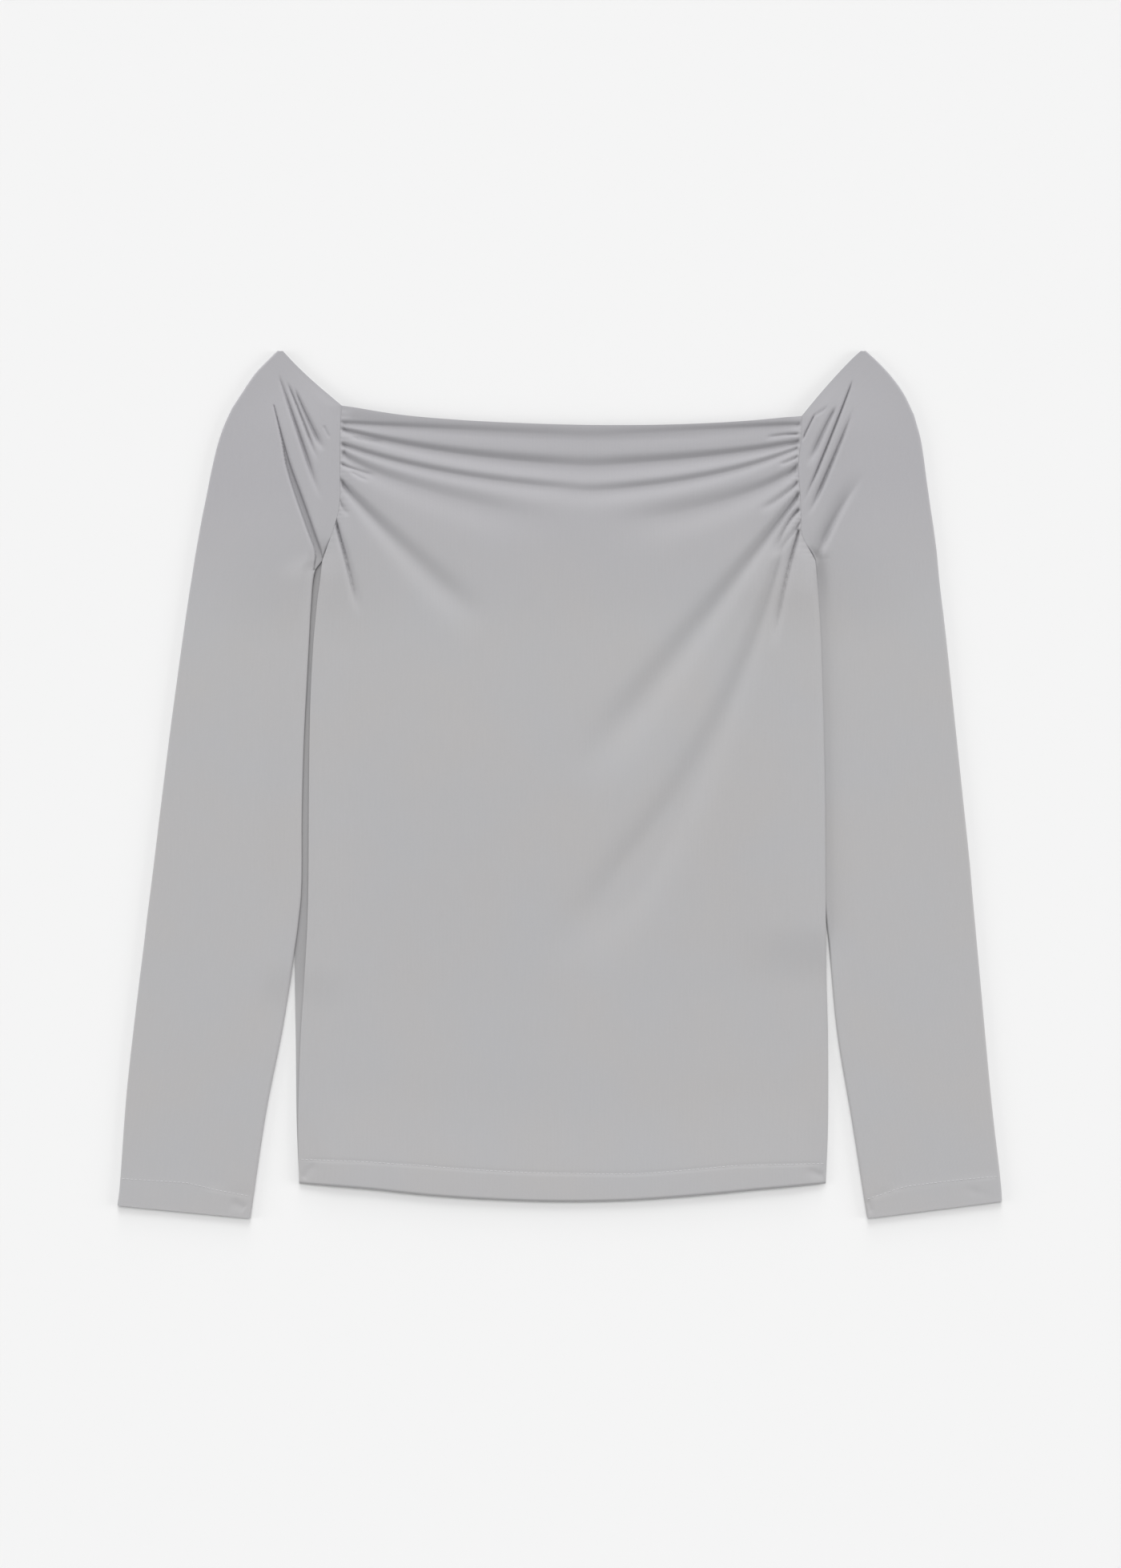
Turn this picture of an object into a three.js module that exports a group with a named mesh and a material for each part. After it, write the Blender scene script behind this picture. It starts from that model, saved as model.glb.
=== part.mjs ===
// Off-shoulder top in fine jersey, laid flat on its back: four cut pieces, each one wall of cloth.
// Millimetres. +Z is up from the surface it lies on, +Y points from the hem to the neckline, and
// the wearer's right sleeve is on the side of -X. Sections are worked out from the tables below.
import * as THREE from "three";

// The cloth
const CLOTH = 1.0; // thickness of every wall
const SEAM_GAP = 0.3; // between two pieces that are sewn together
const LAYER_RISE = 2.6; // from the lower layer's middle to the upper layer's middle
const FOLD_RADIUS = LAYER_RISE / 2; // the bend at the edge of a flattened tube
const CLOTH_GREY = 0xb5b5b7;
const CLOTH_ROUGHNESS = 0.85;

// The gathered upper front
const YOKE_LOW = 96; // y where the fullness begins
const YOKE_FULL = 176; // y where it has its whole height
const YOKE_RISE = 1.9; // how far it lifts the front between the seams
const SEAM_RISE = 1.0; // how far it lifts the armhole seam
const SEAM_REACH = 12; // from the seam to where the fullness stands free
const NECK_REACH = 9; // from the neck edge to the same
const HEAD_RISE = 1.5; // how far it lifts the middle of a sleeve head
const OUTER_REACH = 30; // from a sleeve's outer fold to where its head stands free
const PEAK_REACH = 34; // from the shoulder point to the same
const SEAM_RELIEF = 0.6; // share of a fold's depth that is left at the seam
const LEAST_RISE = CLOTH + SEAM_GAP; // how near the middles of two layers may come
const NECK_BOW_FADE = 1.3; // how fast the rows below the neck edge lose its bow
const NECK_BACK_DROP = 3; // how far the back's neck edge hangs below the front's
const HEM_BACK_RISE = 2; // how far the back's hem ends above the front's

// The side edges
const SIDE_ROLL = 7; // width of the rolled edge along a side seam

// Where the body lies over the edge of the sleeve on +X
const TUCK = { top: 156, full: 131, low: -96, end: -141, rise: 3.1, width: 6 };
const TUCK_BACK_REACH = 22; // width of the raised band of the back
const TUCK_FRONT_REACH = 36; // width of the raised band of the front
const TUCK_RADIUS = 0.9; // bend of the sleeve's edge under the body

// Where the edge of the sleeve on -X lies over the back's side strip
const LAP = { top: 156, full: 141, low: -126, end: -158, rise: 1.3, width: 7, reach: 22 };

// The sleeve on -X, from cuff to shoulder point: its outer fold and its inner edge, row by row.
// The inner edge is the underarm seam up to the underarm row, the armhole seam up to the neck
// row, and then the sleeve's own neck edge. A corner row keeps its angle.
const LEFT_SLEEVE = [
  { row: "cuff", outerX: -309.7, outerY: -294.6, innerX: -216.7, innerY: -303.5, steps: 1 },
  { row: "hem", outerX: -307.7, outerY: -277.2, innerX: -214.2, innerY: -285.6, steps: 1 },
  { row: "wrist", outerX: -303.5, outerY: -219.0, innerX: -205.5, innerY: -227.4, steps: 1 },
  { row: "forearm", outerX: -297.4, outerY: -163.0, innerX: -194.3, innerY: -171.4, steps: 1 },
  { row: "leaves body", outerX: -291.2, outerY: -112.6, innerX: -186.5, innerY: -121.0, steps: 1 },
  { row: "low lap", outerX: -288.7, outerY: -91.3, innerX: -183.1, innerY: -96.3, steps: 1 },
  { row: "elbow", outerX: -285.0, outerY: -62.2, innerX: -180.9, innerY: -70.6, steps: 1 },
  { row: "mid lap", outerX: -278.9, outerY: -11.8, innerX: -180.6, innerY: -20.2, steps: 1 },
  { row: "upper arm", outerX: -272.6, outerY: 38.6, innerX: -179.2, innerY: 30.2, steps: 1 },
  { row: "high lap", outerX: -265.4, outerY: 91.8, innerX: -176.4, innerY: 84.6, steps: 1 },
  { row: "below underarm", outerX: -260.4, outerY: 127.1, innerX: -174.2, innerY: 124.3, steps: 1 },
  { row: "crevice", outerX: -257.6, outerY: 145.0, innerX: -170.8, innerY: 142.8, steps: 1 },
  { row: "underarm", outerX: -255.4, outerY: 159.0, innerX: -166.3, innerY: 156.2, steps: 3, corner: true },
  { row: "seam 1", outerX: -250.9, outerY: 184.2, innerX: -156.8, innerY: 183.7, steps: 2 },
  { row: "seam 2", outerX: -247.5, outerY: 201.0, innerX: -154.0, innerY: 199.9, steps: 2 },
  { row: "seam 3", outerX: -244.2, outerY: 217.8, innerX: -154.0, innerY: 216.7, steps: 2 },
  { row: "seam 4", outerX: -239.7, outerY: 236.9, innerX: -154.0, innerY: 234.6, steps: 2 },
  { row: "seam 5", outerX: -235.2, outerY: 250.3, innerX: -153.7, innerY: 250.3, steps: 1 },
  { row: "neck", outerX: -229.6, outerY: 262.6, innerX: -152.6, innerY: 264.3, steps: 1, corner: true },
  { row: "neck 1", outerX: -222.3, outerY: 273.8, innerX: -161.3, innerY: 271.6, steps: 1 },
  { row: "neck 2", outerX: -213.9, outerY: 286.2, innerX: -173.0, innerY: 281.7, steps: 1 },
  { row: "neck 3", outerX: -205.0, outerY: 295.7, innerX: -184.8, innerY: 292.9, steps: 1 },
  { row: "shoulder point", outerX: -198.0, outerY: 302.5, innerX: -193.9, innerY: 302.6, steps: 1 },
];

// The sleeve on +X, in the same rows. It lies a little differently: its inner edge runs under the
// body from below the underarm to above the wrist.
const RIGHT_SLEEVE = [
  { row: "cuff", outerX: 308.6, outerY: -291.5, innerX: 214.5, innerY: -303.5, steps: 1 },
  { row: "hem", outerX: 307.2, outerY: -273.8, innerX: 211.7, innerY: -286.2, steps: 1 },
  { row: "wrist", outerX: 301.3, outerY: -222.9, innerX: 203.6, innerY: -234.6, steps: 1 },
  { row: "forearm", outerX: 295.7, outerY: -163.0, innerX: 193.5, innerY: -174.2, steps: 1 },
  { row: "leaves body", outerX: 290.6, outerY: -107.0, innerX: 188.2, innerY: -118.2, steps: 1 },
  { row: "low tuck", outerX: 287.8, outerY: -76.2, innerX: 184.8, innerY: -86.8, steps: 1 },
  { row: "elbow", outerX: 285.6, outerY: -51.0, innerX: 182.6, innerY: -62.2, steps: 1 },
  { row: "mid tuck", outerX: 280.0, outerY: 2.2, innerX: 180.3, innerY: -9.0, steps: 1 },
  { row: "upper arm", outerX: 274.4, outerY: 55.4, innerX: 179.2, innerY: 44.2, steps: 1 },
  { row: "high tuck", outerX: 269.1, outerY: 105.8, innerX: 179.8, innerY: 95.8, steps: 1 },
  { row: "below underarm", outerX: 265.4, outerY: 136.6, innerX: 180.9, innerY: 124.3, steps: 1 },
  { row: "crevice", outerX: 264.0, outerY: 150.6, innerX: 180.4, innerY: 143.9, steps: 1 },
  { row: "underarm", outerX: 262.9, outerY: 163.0, innerX: 177.5, innerY: 156.8, steps: 3, corner: true },
  { row: "seam 1", outerX: 260.4, outerY: 181.4, innerX: 168.6, innerY: 174.2, steps: 2 },
  { row: "seam 2", outerX: 258.7, outerY: 192.6, innerX: 168.0, innerY: 187.6, steps: 2 },
  { row: "seam 3", outerX: 255.9, outerY: 212.2, innerX: 167.2, innerY: 205.0, steps: 2 },
  { row: "seam 4", outerX: 253.7, outerY: 229.0, innerX: 166.0, innerY: 222.3, steps: 2 },
  { row: "seam 5", outerX: 251.4, outerY: 242.5, innerX: 168.0, innerY: 240.2, steps: 1 },
  { row: "neck", outerX: 247.0, outerY: 258.2, innerX: 168.3, innerY: 257.0, steps: 1, corner: true },
  { row: "neck 1", outerX: 240.2, outerY: 272.2, innerX: 180.3, innerY: 271.6, steps: 1 },
  { row: "neck 2", outerX: 232.4, outerY: 283.4, innerX: 192.1, innerY: 285.0, steps: 1 },
  { row: "neck 3", outerX: 223.4, outerY: 293.4, innerX: 202.7, innerY: 296.2, steps: 1 },
  { row: "shoulder point", outerX: 213.7, outerY: 302.5, innerX: 209.6, innerY: 302.6, steps: 1 },
];
const UNDERARM_ROW = LEFT_SLEEVE.findIndex((r) => r.row === "underarm");
const NECK_ROW = LEFT_SLEEVE.findIndex((r) => r.row === "neck");

// The body's sides below the underarm. On -X the back shows past the front as a narrow strip.
const SIDES = [
  { y: 156.2, frontLeft: -166.3, backLeft: -166.3, right: 177.8, steps: 3 },
  { y: 141.1, frontLeft: -168.0, backLeft: -171.9, right: 179.2, steps: 2 },
  { y: 128.2, frontLeft: -169.8, backLeft: -176.4, right: 180.3, steps: 3 },
  { y: 100.2, frontLeft: -172.5, backLeft: -180.0, right: 182.0, steps: 3 },
  { y: 66.6, frontLeft: -174.4, backLeft: -182.0, right: 183.1, steps: 2 },
  { y: 33.0, frontLeft: -175.3, backLeft: -183.4, right: 184.0, steps: 2 },
  { y: -11.8, frontLeft: -175.8, backLeft: -184.8, right: 184.8, steps: 2 },
  { y: -67.8, frontLeft: -176.1, backLeft: -185.6, right: 185.1, steps: 1 },
  { y: -101.4, frontLeft: -177.0, backLeft: -185.9, right: 185.4, steps: 1 },
  { y: -135.0, frontLeft: -178.9, backLeft: -185.8, right: 185.9, steps: 1 },
  { y: -179.8, frontLeft: -181.7, backLeft: -185.1, right: 187.0, steps: 1 },
  { y: -235.8, frontLeft: -183.4, backLeft: -184.5, right: 187.0, steps: 1 },
  { y: -279.2, frontLeft: -182.6, backLeft: -182.6, right: 185.4, steps: 1 },
];

// The front's neck edge and hem, at equal steps from side to side: how far each bows below the
// straight line between its ends.
const NECK_BOW = [
  { dip: 0 },
  { dip: 5.6 },
  { dip: 8.3 },
  { dip: 9.5 },
  { dip: 9.9 },
  { dip: 9.3 },
  { dip: 7.6 },
  { dip: 4.6 },
  { dip: 0 },
];
const HEM_BOW = [
  { dip: 0 },
  { dip: 3.5 },
  { dip: 8.3 },
  { dip: 11.2 },
  { dip: 12.5 },
  { dip: 11.6 },
  { dip: 8.4 },
  { dip: 4.0 },
  { dip: 0 },
];

// Gathers and folds of the front, L from the seam on -X and R from the one on +X. Each runs from
// its seam through a middle point to where it dies out; width and depth are those of its trough at
// its two ends.
const FRONT_FOLDS = [
  { fold: "L1", x0: -153, y0: 253, x1: -58, y1: 248, x2: 52, y2: 245, w0: 1.8, w2: 5, d0: 1.1, d2: 0.9 },
  { fold: "L2", x0: -154, y0: 249, x1: -62, y1: 231, x2: 52, y2: 225, w0: 1.9, w2: 6.5, d0: 2.2, d2: 2.2 },
  { fold: "L9", x0: -148, y0: 243, x1: -134, y1: 241, x2: -122, y2: 240, w0: 1.6, w2: 2, d0: 1, d2: 0.4 },
  { fold: "L3", x0: -152, y0: 237, x1: -63, y1: 215, x2: 52, y2: 205, w0: 1.8, w2: 6.5, d0: 1.6, d2: 1 },
  { fold: "L4", x0: -151, y0: 232, x1: -101, y1: 209, x2: -19, y2: 187, w0: 1.8, w2: 8, d0: 1.6, d2: 0.4 },
  { fold: "L5", x0: -153, y0: 224, x1: -140, y1: 219, x2: -128, y2: 216, w0: 1.7, w2: 2, d0: 1.3, d2: 0.5 },
  { fold: "LA", x0: -147, y0: 219, x1: -140, y1: 215, x2: -133, y2: 212, w0: 1.4, w2: 1.6, d0: 0.8, d2: 0.4 },
  { fold: "L6", x0: -154, y0: 213, x1: -120, y1: 178, x2: -70, y2: 133, w0: 1.9, w2: 8, d0: 2.3, d2: 0.5 },
  { fold: "L7", x0: -154, y0: 198, x1: -151, y1: 193, x2: -147, y2: 187, w0: 1.6, w2: 1.8, d0: 0.9, d2: 0.4 },
  { fold: "L8", x0: -157, y0: 185, x1: -148, y1: 154, x2: -139, y2: 118, w0: 1.7, w2: 3, d0: 2, d2: 0.4 },
  { fold: "R1", x0: 167, y0: 252, x1: 90, y1: 248, x2: -8, y2: 245, w0: 1.6, w2: 5, d0: 1, d2: 0.9 },
  { fold: "RA", x0: 165, y0: 245, x1: 153, y1: 244, x2: 142, y2: 242, w0: 1.5, w2: 1.8, d0: 1, d2: 0.4 },
  { fold: "R2", x0: 166, y0: 240, x1: 90, y1: 228, x2: -8, y2: 225, w0: 1.9, w2: 6.5, d0: 2.2, d2: 2.2 },
  { fold: "R3", x0: 165, y0: 234, x1: 90, y1: 214, x2: -8, y2: 205, w0: 1.8, w2: 6.5, d0: 1.7, d2: 1 },
  { fold: "R4", x0: 165, y0: 229, x1: 159, y1: 226, x2: 151, y2: 223, w0: 1.4, w2: 1.6, d0: 0.9, d2: 0.4 },
  { fold: "R5", x0: 165, y0: 223, x1: 114, y1: 200, x2: 51, y2: 184, w0: 1.8, w2: 8, d0: 1.7, d2: 0.4 },
  { fold: "R6", x0: 165, y0: 211, x1: 153, y1: 201, x2: 136, y2: 190, w0: 1.7, w2: 2.6, d0: 1.2, d2: 0.4 },
  { fold: "R7", x0: 166, y0: 203, x1: 103, y1: 129, x2: 31, y2: 42, w0: 2.2, w2: 14, d0: 2.3, d2: 0.8 },
  { fold: "R8", x0: 166, y0: 192, x1: 158, y1: 182, x2: 149, y2: 170, w0: 1.6, w2: 2.2, d0: 1.7, d2: 0.5 },
  { fold: "R9", x0: 168, y0: 184, x1: 159, y1: 172, x2: 148, y2: 158, w0: 1.5, w2: 2, d0: 0.9, d2: 0.4 },
  { fold: "R10", x0: 167, y0: 175, x1: 160, y1: 152, x2: 148, y2: 114, w0: 1.8, w2: 3.2, d0: 1.6, d2: 0.5 },
  { fold: "R11", x0: 163, y0: 164, x1: 107, y1: 35, x2: 3, y2: -118, w0: 2.6, w2: 17, d0: 1.9, d2: 0.9 },
];

// Folds of the two sleeve heads, in the same columns.
const LEFT_SLEEVE_FOLDS = [
  { fold: "H1", x0: -197, y0: 287, x1: -182, y1: 239, x2: -165, y2: 194, w0: 2, w2: 3.2, d0: 1.2, d2: 0.5 },
  { fold: "H2", x0: -192, y0: 281, x1: -179, y1: 252, x2: -166, y2: 221, w0: 1.8, w2: 2.6, d0: 1, d2: 0.4 },
  { fold: "H3", x0: -185, y0: 275, x1: -174, y1: 252, x2: -161, y2: 229, w0: 1.8, w2: 2.6, d0: 1.2, d2: 0.4 },
  { fold: "H4", x0: -165, y0: 251, x1: -163, y1: 246, x2: -160, y2: 241, w0: 1.5, w2: 1.8, d0: 0.7, d2: 0.3 },
  { fold: "U", x0: -202, y0: 268, x1: -185, y1: 209, x2: -168, y2: 157, w0: 2.4, w2: 4.2, d0: 0.9, d2: 2 },
];
const RIGHT_SLEEVE_FOLDS = [
  { fold: "H1", x0: 204, y0: 279, x1: 187, y1: 243, x2: 171, y2: 203, w0: 2, w2: 3, d0: 1.3, d2: 0.5 },
  { fold: "H2", x0: 194, y0: 266, x1: 184, y1: 246, x2: 175, y2: 225, w0: 1.8, w2: 2.6, d0: 1, d2: 0.4 },
  { fold: "H3", x0: 175, y0: 254, x1: 172, y1: 246, x2: 170, y2: 238, w0: 1.5, w2: 1.8, d0: 0.7, d2: 0.3 },
  { fold: "H4", x0: 204, y0: 258, x1: 192, y1: 229, x2: 175, y2: 198, w0: 1.9, w2: 3, d0: 1, d2: 0.5 },
  { fold: "U", x0: 211, y0: 216, x1: 195, y1: 186, x2: 180, y2: 160, w0: 3, w2: 4.2, d0: 0.8, d2: 1.9 },
];
const FOLD_BANK = 0.42; // height of the bank beside a trough, as a share of its depth
const FOLD_BANK_AT = 1.9; // distance of that bank, in trough widths
const FOLD_FADE = 0.3; // share of a fold's length over which it dies out
const FOLD_SAMPLES = 24;

// How finely the grids are cut
const FRONT_ROWS_PER_SECTION = 3; // rows of the front to each of the sleeve's along the armhole
const BACK_ROWS_PER_SECTION = 1;
const EDGE_COLUMNS = [0, 2.2, 4.8, 8, 12, 17, 23, 31, 41, 54, 69, 85, 102, 120, 140]; // from a side edge
const BACK_EDGE_COLUMNS = [0, 4, 7, 11, 15, 19, 24, 50, 80, 112, 142];
const SLEEVE_TOP_COLUMNS = 14;
const SLEEVE_UNDER_COLUMNS = 3;
const CROWDING = { tube: 1.3, underarm: 2.0, neck: 0.8 }; // above 1, columns crowd to the inner edge
const CROWDING_ROWS = 3; // rows below the underarm over which the crowding changes
const FAN_DROP = 150; // how far the middle of the underarm's row hangs, so that rows follow the folds
const FAN_FROM = 0.05; // share of the armhole above which rows hang like the neck edge
const BEND_STEPS = [1, 0.5, 0]; // quarter bends, from flat to the edge
const NARROW_EDGE = 0.12; // share of a narrow row that its edge band may take

const lerp = THREE.MathUtils.lerp;

// 0 below a, 1 above b, smooth between.
function smooth(value, a, b) {
  return THREE.MathUtils.smoothstep(value, a, b);
}

// A column of a table at a fractional row: a smooth curve through the rows, with its corners kept.
function at(table, column, t) {
  const i = Math.min(Math.floor(t), table.length - 2);
  const f = t - i;
  const value = (k) => table[k][column];
  const slope = (k) => {
    const inner = k > 0 && k < table.length - 1 && !table[k].corner;
    return inner ? (value(k + 1) - value(k - 1)) / 2 : value(i + 1) - value(i);
  };
  const a = value(i);
  const b = value(i + 1);
  return a + f * slope(i) + f * f * (3 * (b - a) - 2 * slope(i) - slope(i + 1))
    + f * f * f * (slope(i) + slope(i + 1) - 2 * (b - a));
}

// The fractional rows of a table where a grid has its own rows.
function stations(table, first, last) {
  const list = [];
  for (let i = first; i < last; i++) {
    for (let k = 0; k < table[i].steps; k++) list.push(i + k / table[i].steps);
  }
  list.push(last);
  return list;
}

// A fold's trough as a row of points along a curve that passes through its middle point.
function foldLine(f) {
  const bendX = 2 * f.x1 - (f.x0 + f.x2) / 2;
  const bendY = 2 * f.y1 - (f.y0 + f.y2) / 2;
  const curve = new THREE.QuadraticBezierCurve(
    new THREE.Vector2(f.x0, f.y0),
    new THREE.Vector2(bendX, bendY),
    new THREE.Vector2(f.x2, f.y2),
  );
  return { ...f, line: curve.getPoints(FOLD_SAMPLES) };
}

// Height that a set of folds adds at a point: a trough with a low bank on each side of it.
function relief(folds, x, y) {
  let height = 0;
  for (const f of folds) {
    let nearest = Infinity;
    let along = 0;
    for (let k = 0; k < FOLD_SAMPLES; k++) {
      const a = f.line[k];
      const b = f.line[k + 1];
      const dx = b.x - a.x;
      const dy = b.y - a.y;
      const t = THREE.MathUtils.clamp(((x - a.x) * dx + (y - a.y) * dy) / (dx * dx + dy * dy), 0, 1);
      const d = Math.hypot(x - a.x - t * dx, y - a.y - t * dy);
      if (d < nearest) {
        nearest = d;
        along = (k + t) / FOLD_SAMPLES;
      }
    }
    const s = nearest / lerp(f.w0, f.w2, along);
    const depth = lerp(f.d0, f.d2, along) * (1 - smooth(along, 1 - FOLD_FADE, 1));
    height += depth * (FOLD_BANK * Math.exp(-((s - FOLD_BANK_AT) ** 2)) - Math.exp(-s * s));
  }
  return height;
}

// Lift of the upper, gathered part of the garment, 0 to 1 with height.
function yoke(y) {
  return smooth(y, YOKE_LOW, YOKE_FULL);
}

// How much of the sleeve on +X lies under the body, 0 to 1 with height.
function tucked(y) {
  return smooth(TUCK.top - y, 0, TUCK.top - TUCK.full) * smooth(y, TUCK.end, TUCK.low);
}

// Rise of the body where it lies over the tucked sleeve edge, at a distance in from its own edge.
function tuckRise(y, inward, reach) {
  return TUCK.rise * tucked(y) * (1 - smooth(inward, TUCK.width, reach));
}

// Rise of the sleeve on -X where its inner edge lies over the back's strip.
function lapRise(y, inward) {
  const along = smooth(LAP.top - y, 0, LAP.top - LAP.full) * smooth(y, LAP.end, LAP.low);
  return LAP.rise * along * (1 - smooth(inward, LAP.width, LAP.reach));
}

// One closed wall round a surface of triangles. Points marked square end in an upright edge.
function wall(name, points, faces, square) {
  const normals = points.map(() => new THREE.Vector3());
  for (const [a, b, c] of faces) {
    const ab = points[b].clone().sub(points[a]);
    const ac = points[c].clone().sub(points[a]);
    const n = ab.cross(ac);
    normals[a].add(n);
    normals[b].add(n);
    normals[c].add(n);
  }
  const positions = [];
  for (const side of [0.5, -0.5]) {
    points.forEach((p, i) => {
      const n = normals[i].clone();
      if (square[i]) n.set(0, 0, n.z);
      n.normalize();
      positions.push(...p.clone().addScaledVector(n, side * CLOTH).toArray());
    });
  }
  const count = points.length;
  const index = [];
  const edges = new Set();
  for (const [a, b, c] of faces) {
    index.push(a, b, c, a + count, c + count, b + count);
    for (const [p, q] of [[a, b], [b, c], [c, a]]) edges.add(`${p},${q}`);
  }
  for (const edge of edges) {
    const [p, q] = edge.split(",").map(Number);
    if (!edges.has(`${q},${p}`)) index.push(q, p, p + count, q, p + count, q + count);
  }
  const geometry = new THREE.BufferGeometry();
  geometry.setAttribute("position", new THREE.Float32BufferAttribute(positions, 3));
  geometry.setIndex(index);
  geometry.computeVertexNormals();
  const look = { color: CLOTH_GREY, roughness: CLOTH_ROUGHNESS, metalness: 0 };
  const mesh = new THREE.Mesh(geometry, new THREE.MeshStandardMaterial(look));
  mesh.name = name;
  return mesh;
}

// Two triangles for a cell of a grid. Its corners run round it, and the first and third are joined,
// so that the join lies along the folds there.
function cell(faces, a, b, c, d) {
  faces.push([a, b, c], [a, c, d]);
}

// Distances across a panel: the same list in from each side edge, as shares of its width.
function columnShares(distances, width) {
  const half = distances.map((d) => d / width);
  const mirrored = half.map((share) => 1 - share);
  return [...half, ...mirrored.reverse()];
}

// The armhole seam from neck to underarm, as the points where the sleeve has its rows.
function armhole(table) {
  const points = stations(table, UNDERARM_ROW, NECK_ROW).map(
    (t) => new THREE.Vector2(at(table, "innerX", t), at(table, "innerY", t)),
  );
  return points.reverse();
}

// Rows of a body panel from neck to hem: its left and right ends, and its share of the two bows.
function panelRows(rowsPerSection, leftColumn) {
  const rows = [];
  const leftSeam = armhole(LEFT_SLEEVE);
  const rightSeam = armhole(RIGHT_SLEEVE);
  const seamRows = (leftSeam.length - 1) * rowsPerSection;
  for (let k = 0; k < seamRows; k++) {
    const section = Math.floor(k / rowsPerSection);
    const part = k / rowsPerSection - section;
    const left = leftSeam[section].clone().lerp(leftSeam[section + 1], part);
    const right = rightSeam[section].clone().lerp(rightSeam[section + 1], part);
    left.x += SEAM_GAP / 2;
    right.x -= SEAM_GAP / 2;
    const down = k / seamRows;
    const neck = (1 - down) ** NECK_BOW_FADE;
    rows.push({ left, right, neck, hem: 0, fan: smooth(down, FAN_FROM, 1), seam: true });
  }
  const last = SIDES.length - 1;
  for (const t of stations(SIDES, 0, last)) {
    const y = at(SIDES, "y", t);
    const left = { x: at(SIDES, leftColumn, t) + SEAM_GAP / 2, y };
    const right = { x: at(SIDES, "right", t) - SEAM_GAP / 2, y };
    const hem = smooth(t, last / 2, last);
    rows.push({ left, right, neck: 0, hem, fan: 1 - smooth(t, 0, last), seam: t === 0 });
  }
  return rows;
}

// A body panel: rows of points, whose height is worked out from place, edge distance and row.
function panel(name, rows, distances, extra, height) {
  const width = rows[0].right.x - rows[0].left.x;
  const shares = columnShares(distances, width);
  const points = [];
  const square = [];
  rows.forEach((row, r) => {
    shares.forEach((share, c) => {
      const bow = share * (NECK_BOW.length - 1);
      const x = lerp(row.left.x, row.right.x, share);
      const y = lerp(row.left.y, row.right.y, share)
        - 4 * share * (1 - share) * row.fan * extra.fan
        - (1 + extra.neck) * row.neck * at(NECK_BOW, "dip", bow)
        - (1 - extra.hem) * row.hem * at(HEM_BOW, "dip", bow);
      const inward = Math.min(x - row.left.x, row.right.x - x);
      const belowNeck = r > 0 ? points[c].y - y : 0;
      const z = height({ x, y, inward, rightward: row.right.x - x, belowNeck, row });
      points.push(new THREE.Vector3(x, y, z));
      square.push(r === 0 || r === rows.length - 1 || c === 0 || c === shares.length - 1);
    });
  });
  const faces = [];
  for (let r = 0; r + 1 < rows.length; r++) {
    for (let c = 0; c + 1 < shares.length; c++) {
      const a = r * shares.length + c;
      const below = a + shares.length;
      const corners = [a, below, below + 1, a + 1];
      if (shares[c] >= 0.5) corners.push(corners.shift());
      cell(faces, ...corners);
    }
  }
  return wall(name, points, faces, square);
}

function backPanel() {
  const neckDip = NECK_BOW[(NECK_BOW.length - 1) / 2].dip;
  const hemDip = HEM_BOW[(HEM_BOW.length - 1) / 2].dip;
  const extra = { neck: NECK_BACK_DROP / neckDip, hem: HEM_BACK_RISE / hemDip, fan: 0 };
  const height = ({ y, rightward }) => CLOTH / 2 + tuckRise(y, rightward, TUCK_BACK_REACH);
  const rows = panelRows(BACK_ROWS_PER_SECTION, "backLeft");
  return panel("back_panel", rows, BACK_EDGE_COLUMNS, extra, height);
}

function frontPanel() {
  const extra = { neck: 0, hem: 0, fan: FAN_DROP };
  const folds = FRONT_FOLDS.map(foldLine);
  const height = ({ x, y, inward, rightward, belowNeck, row }) => {
    const inside = smooth(inward, 0, SEAM_REACH);
    const free = smooth(belowNeck, 0, NECK_REACH);
    const fullness = yoke(y) * lerp(SEAM_RISE, YOKE_RISE, inside * free);
    const lift = tuckRise(y, rightward, TUCK_FRONT_REACH);
    const rolled = row.seam ? 0 : (LAYER_RISE - LEAST_RISE) * (1 - smooth(inward, 0, SIDE_ROLL));
    const shaped = LAYER_RISE - rolled + fullness + relief(folds, x, y) * lerp(SEAM_RELIEF, 1, inside);
    return CLOTH / 2 + lift + Math.max(shaped, LEAST_RISE);
  };
  const rows = panelRows(FRONT_ROWS_PER_SECTION, "frontLeft");
  return panel("front_panel", rows, EDGE_COLUMNS, extra, height);
}

// One row of a sleeve in plan: its two ends, its direction and how the cloth bends at each end.
function sleeveRow(table, t, side) {
  const open = t > UNDERARM_ROW;
  const outer = new THREE.Vector2(at(table, "outerX", t), at(table, "outerY", t));
  const inner = new THREE.Vector2(at(table, "innerX", t), at(table, "innerY", t));
  if (t >= UNDERARM_ROW) inner.x += (side * SEAM_GAP) / 2;
  const width = inner.distanceTo(outer);
  const across = inner.clone().sub(outer).divideScalar(width);
  const underBody = side > 0 && !open ? tucked(inner.y) : 0;
  const innerRadius = lerp(FOLD_RADIUS, TUCK_RADIUS, underBody);
  const outerStart = CLOTH / 2 + FOLD_RADIUS;
  const edgeBand = Math.min(FOLD_RADIUS, width * NARROW_EDGE);
  const innerEnd = open ? width - edgeBand : width - CLOTH / 2 - innerRadius;
  return { t, side, open, outer, width, across, innerRadius, outerStart, innerEnd };
}

// Height of a sleeve's lower layer, at a distance from the outer fold.
function underHeight(row, distance) {
  const y = row.outer.y + row.across.y * distance;
  const lapped = row.side < 0 && !row.open;
  return CLOTH / 2 + (lapped ? lapRise(y, row.width - distance) : 0);
}

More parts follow.
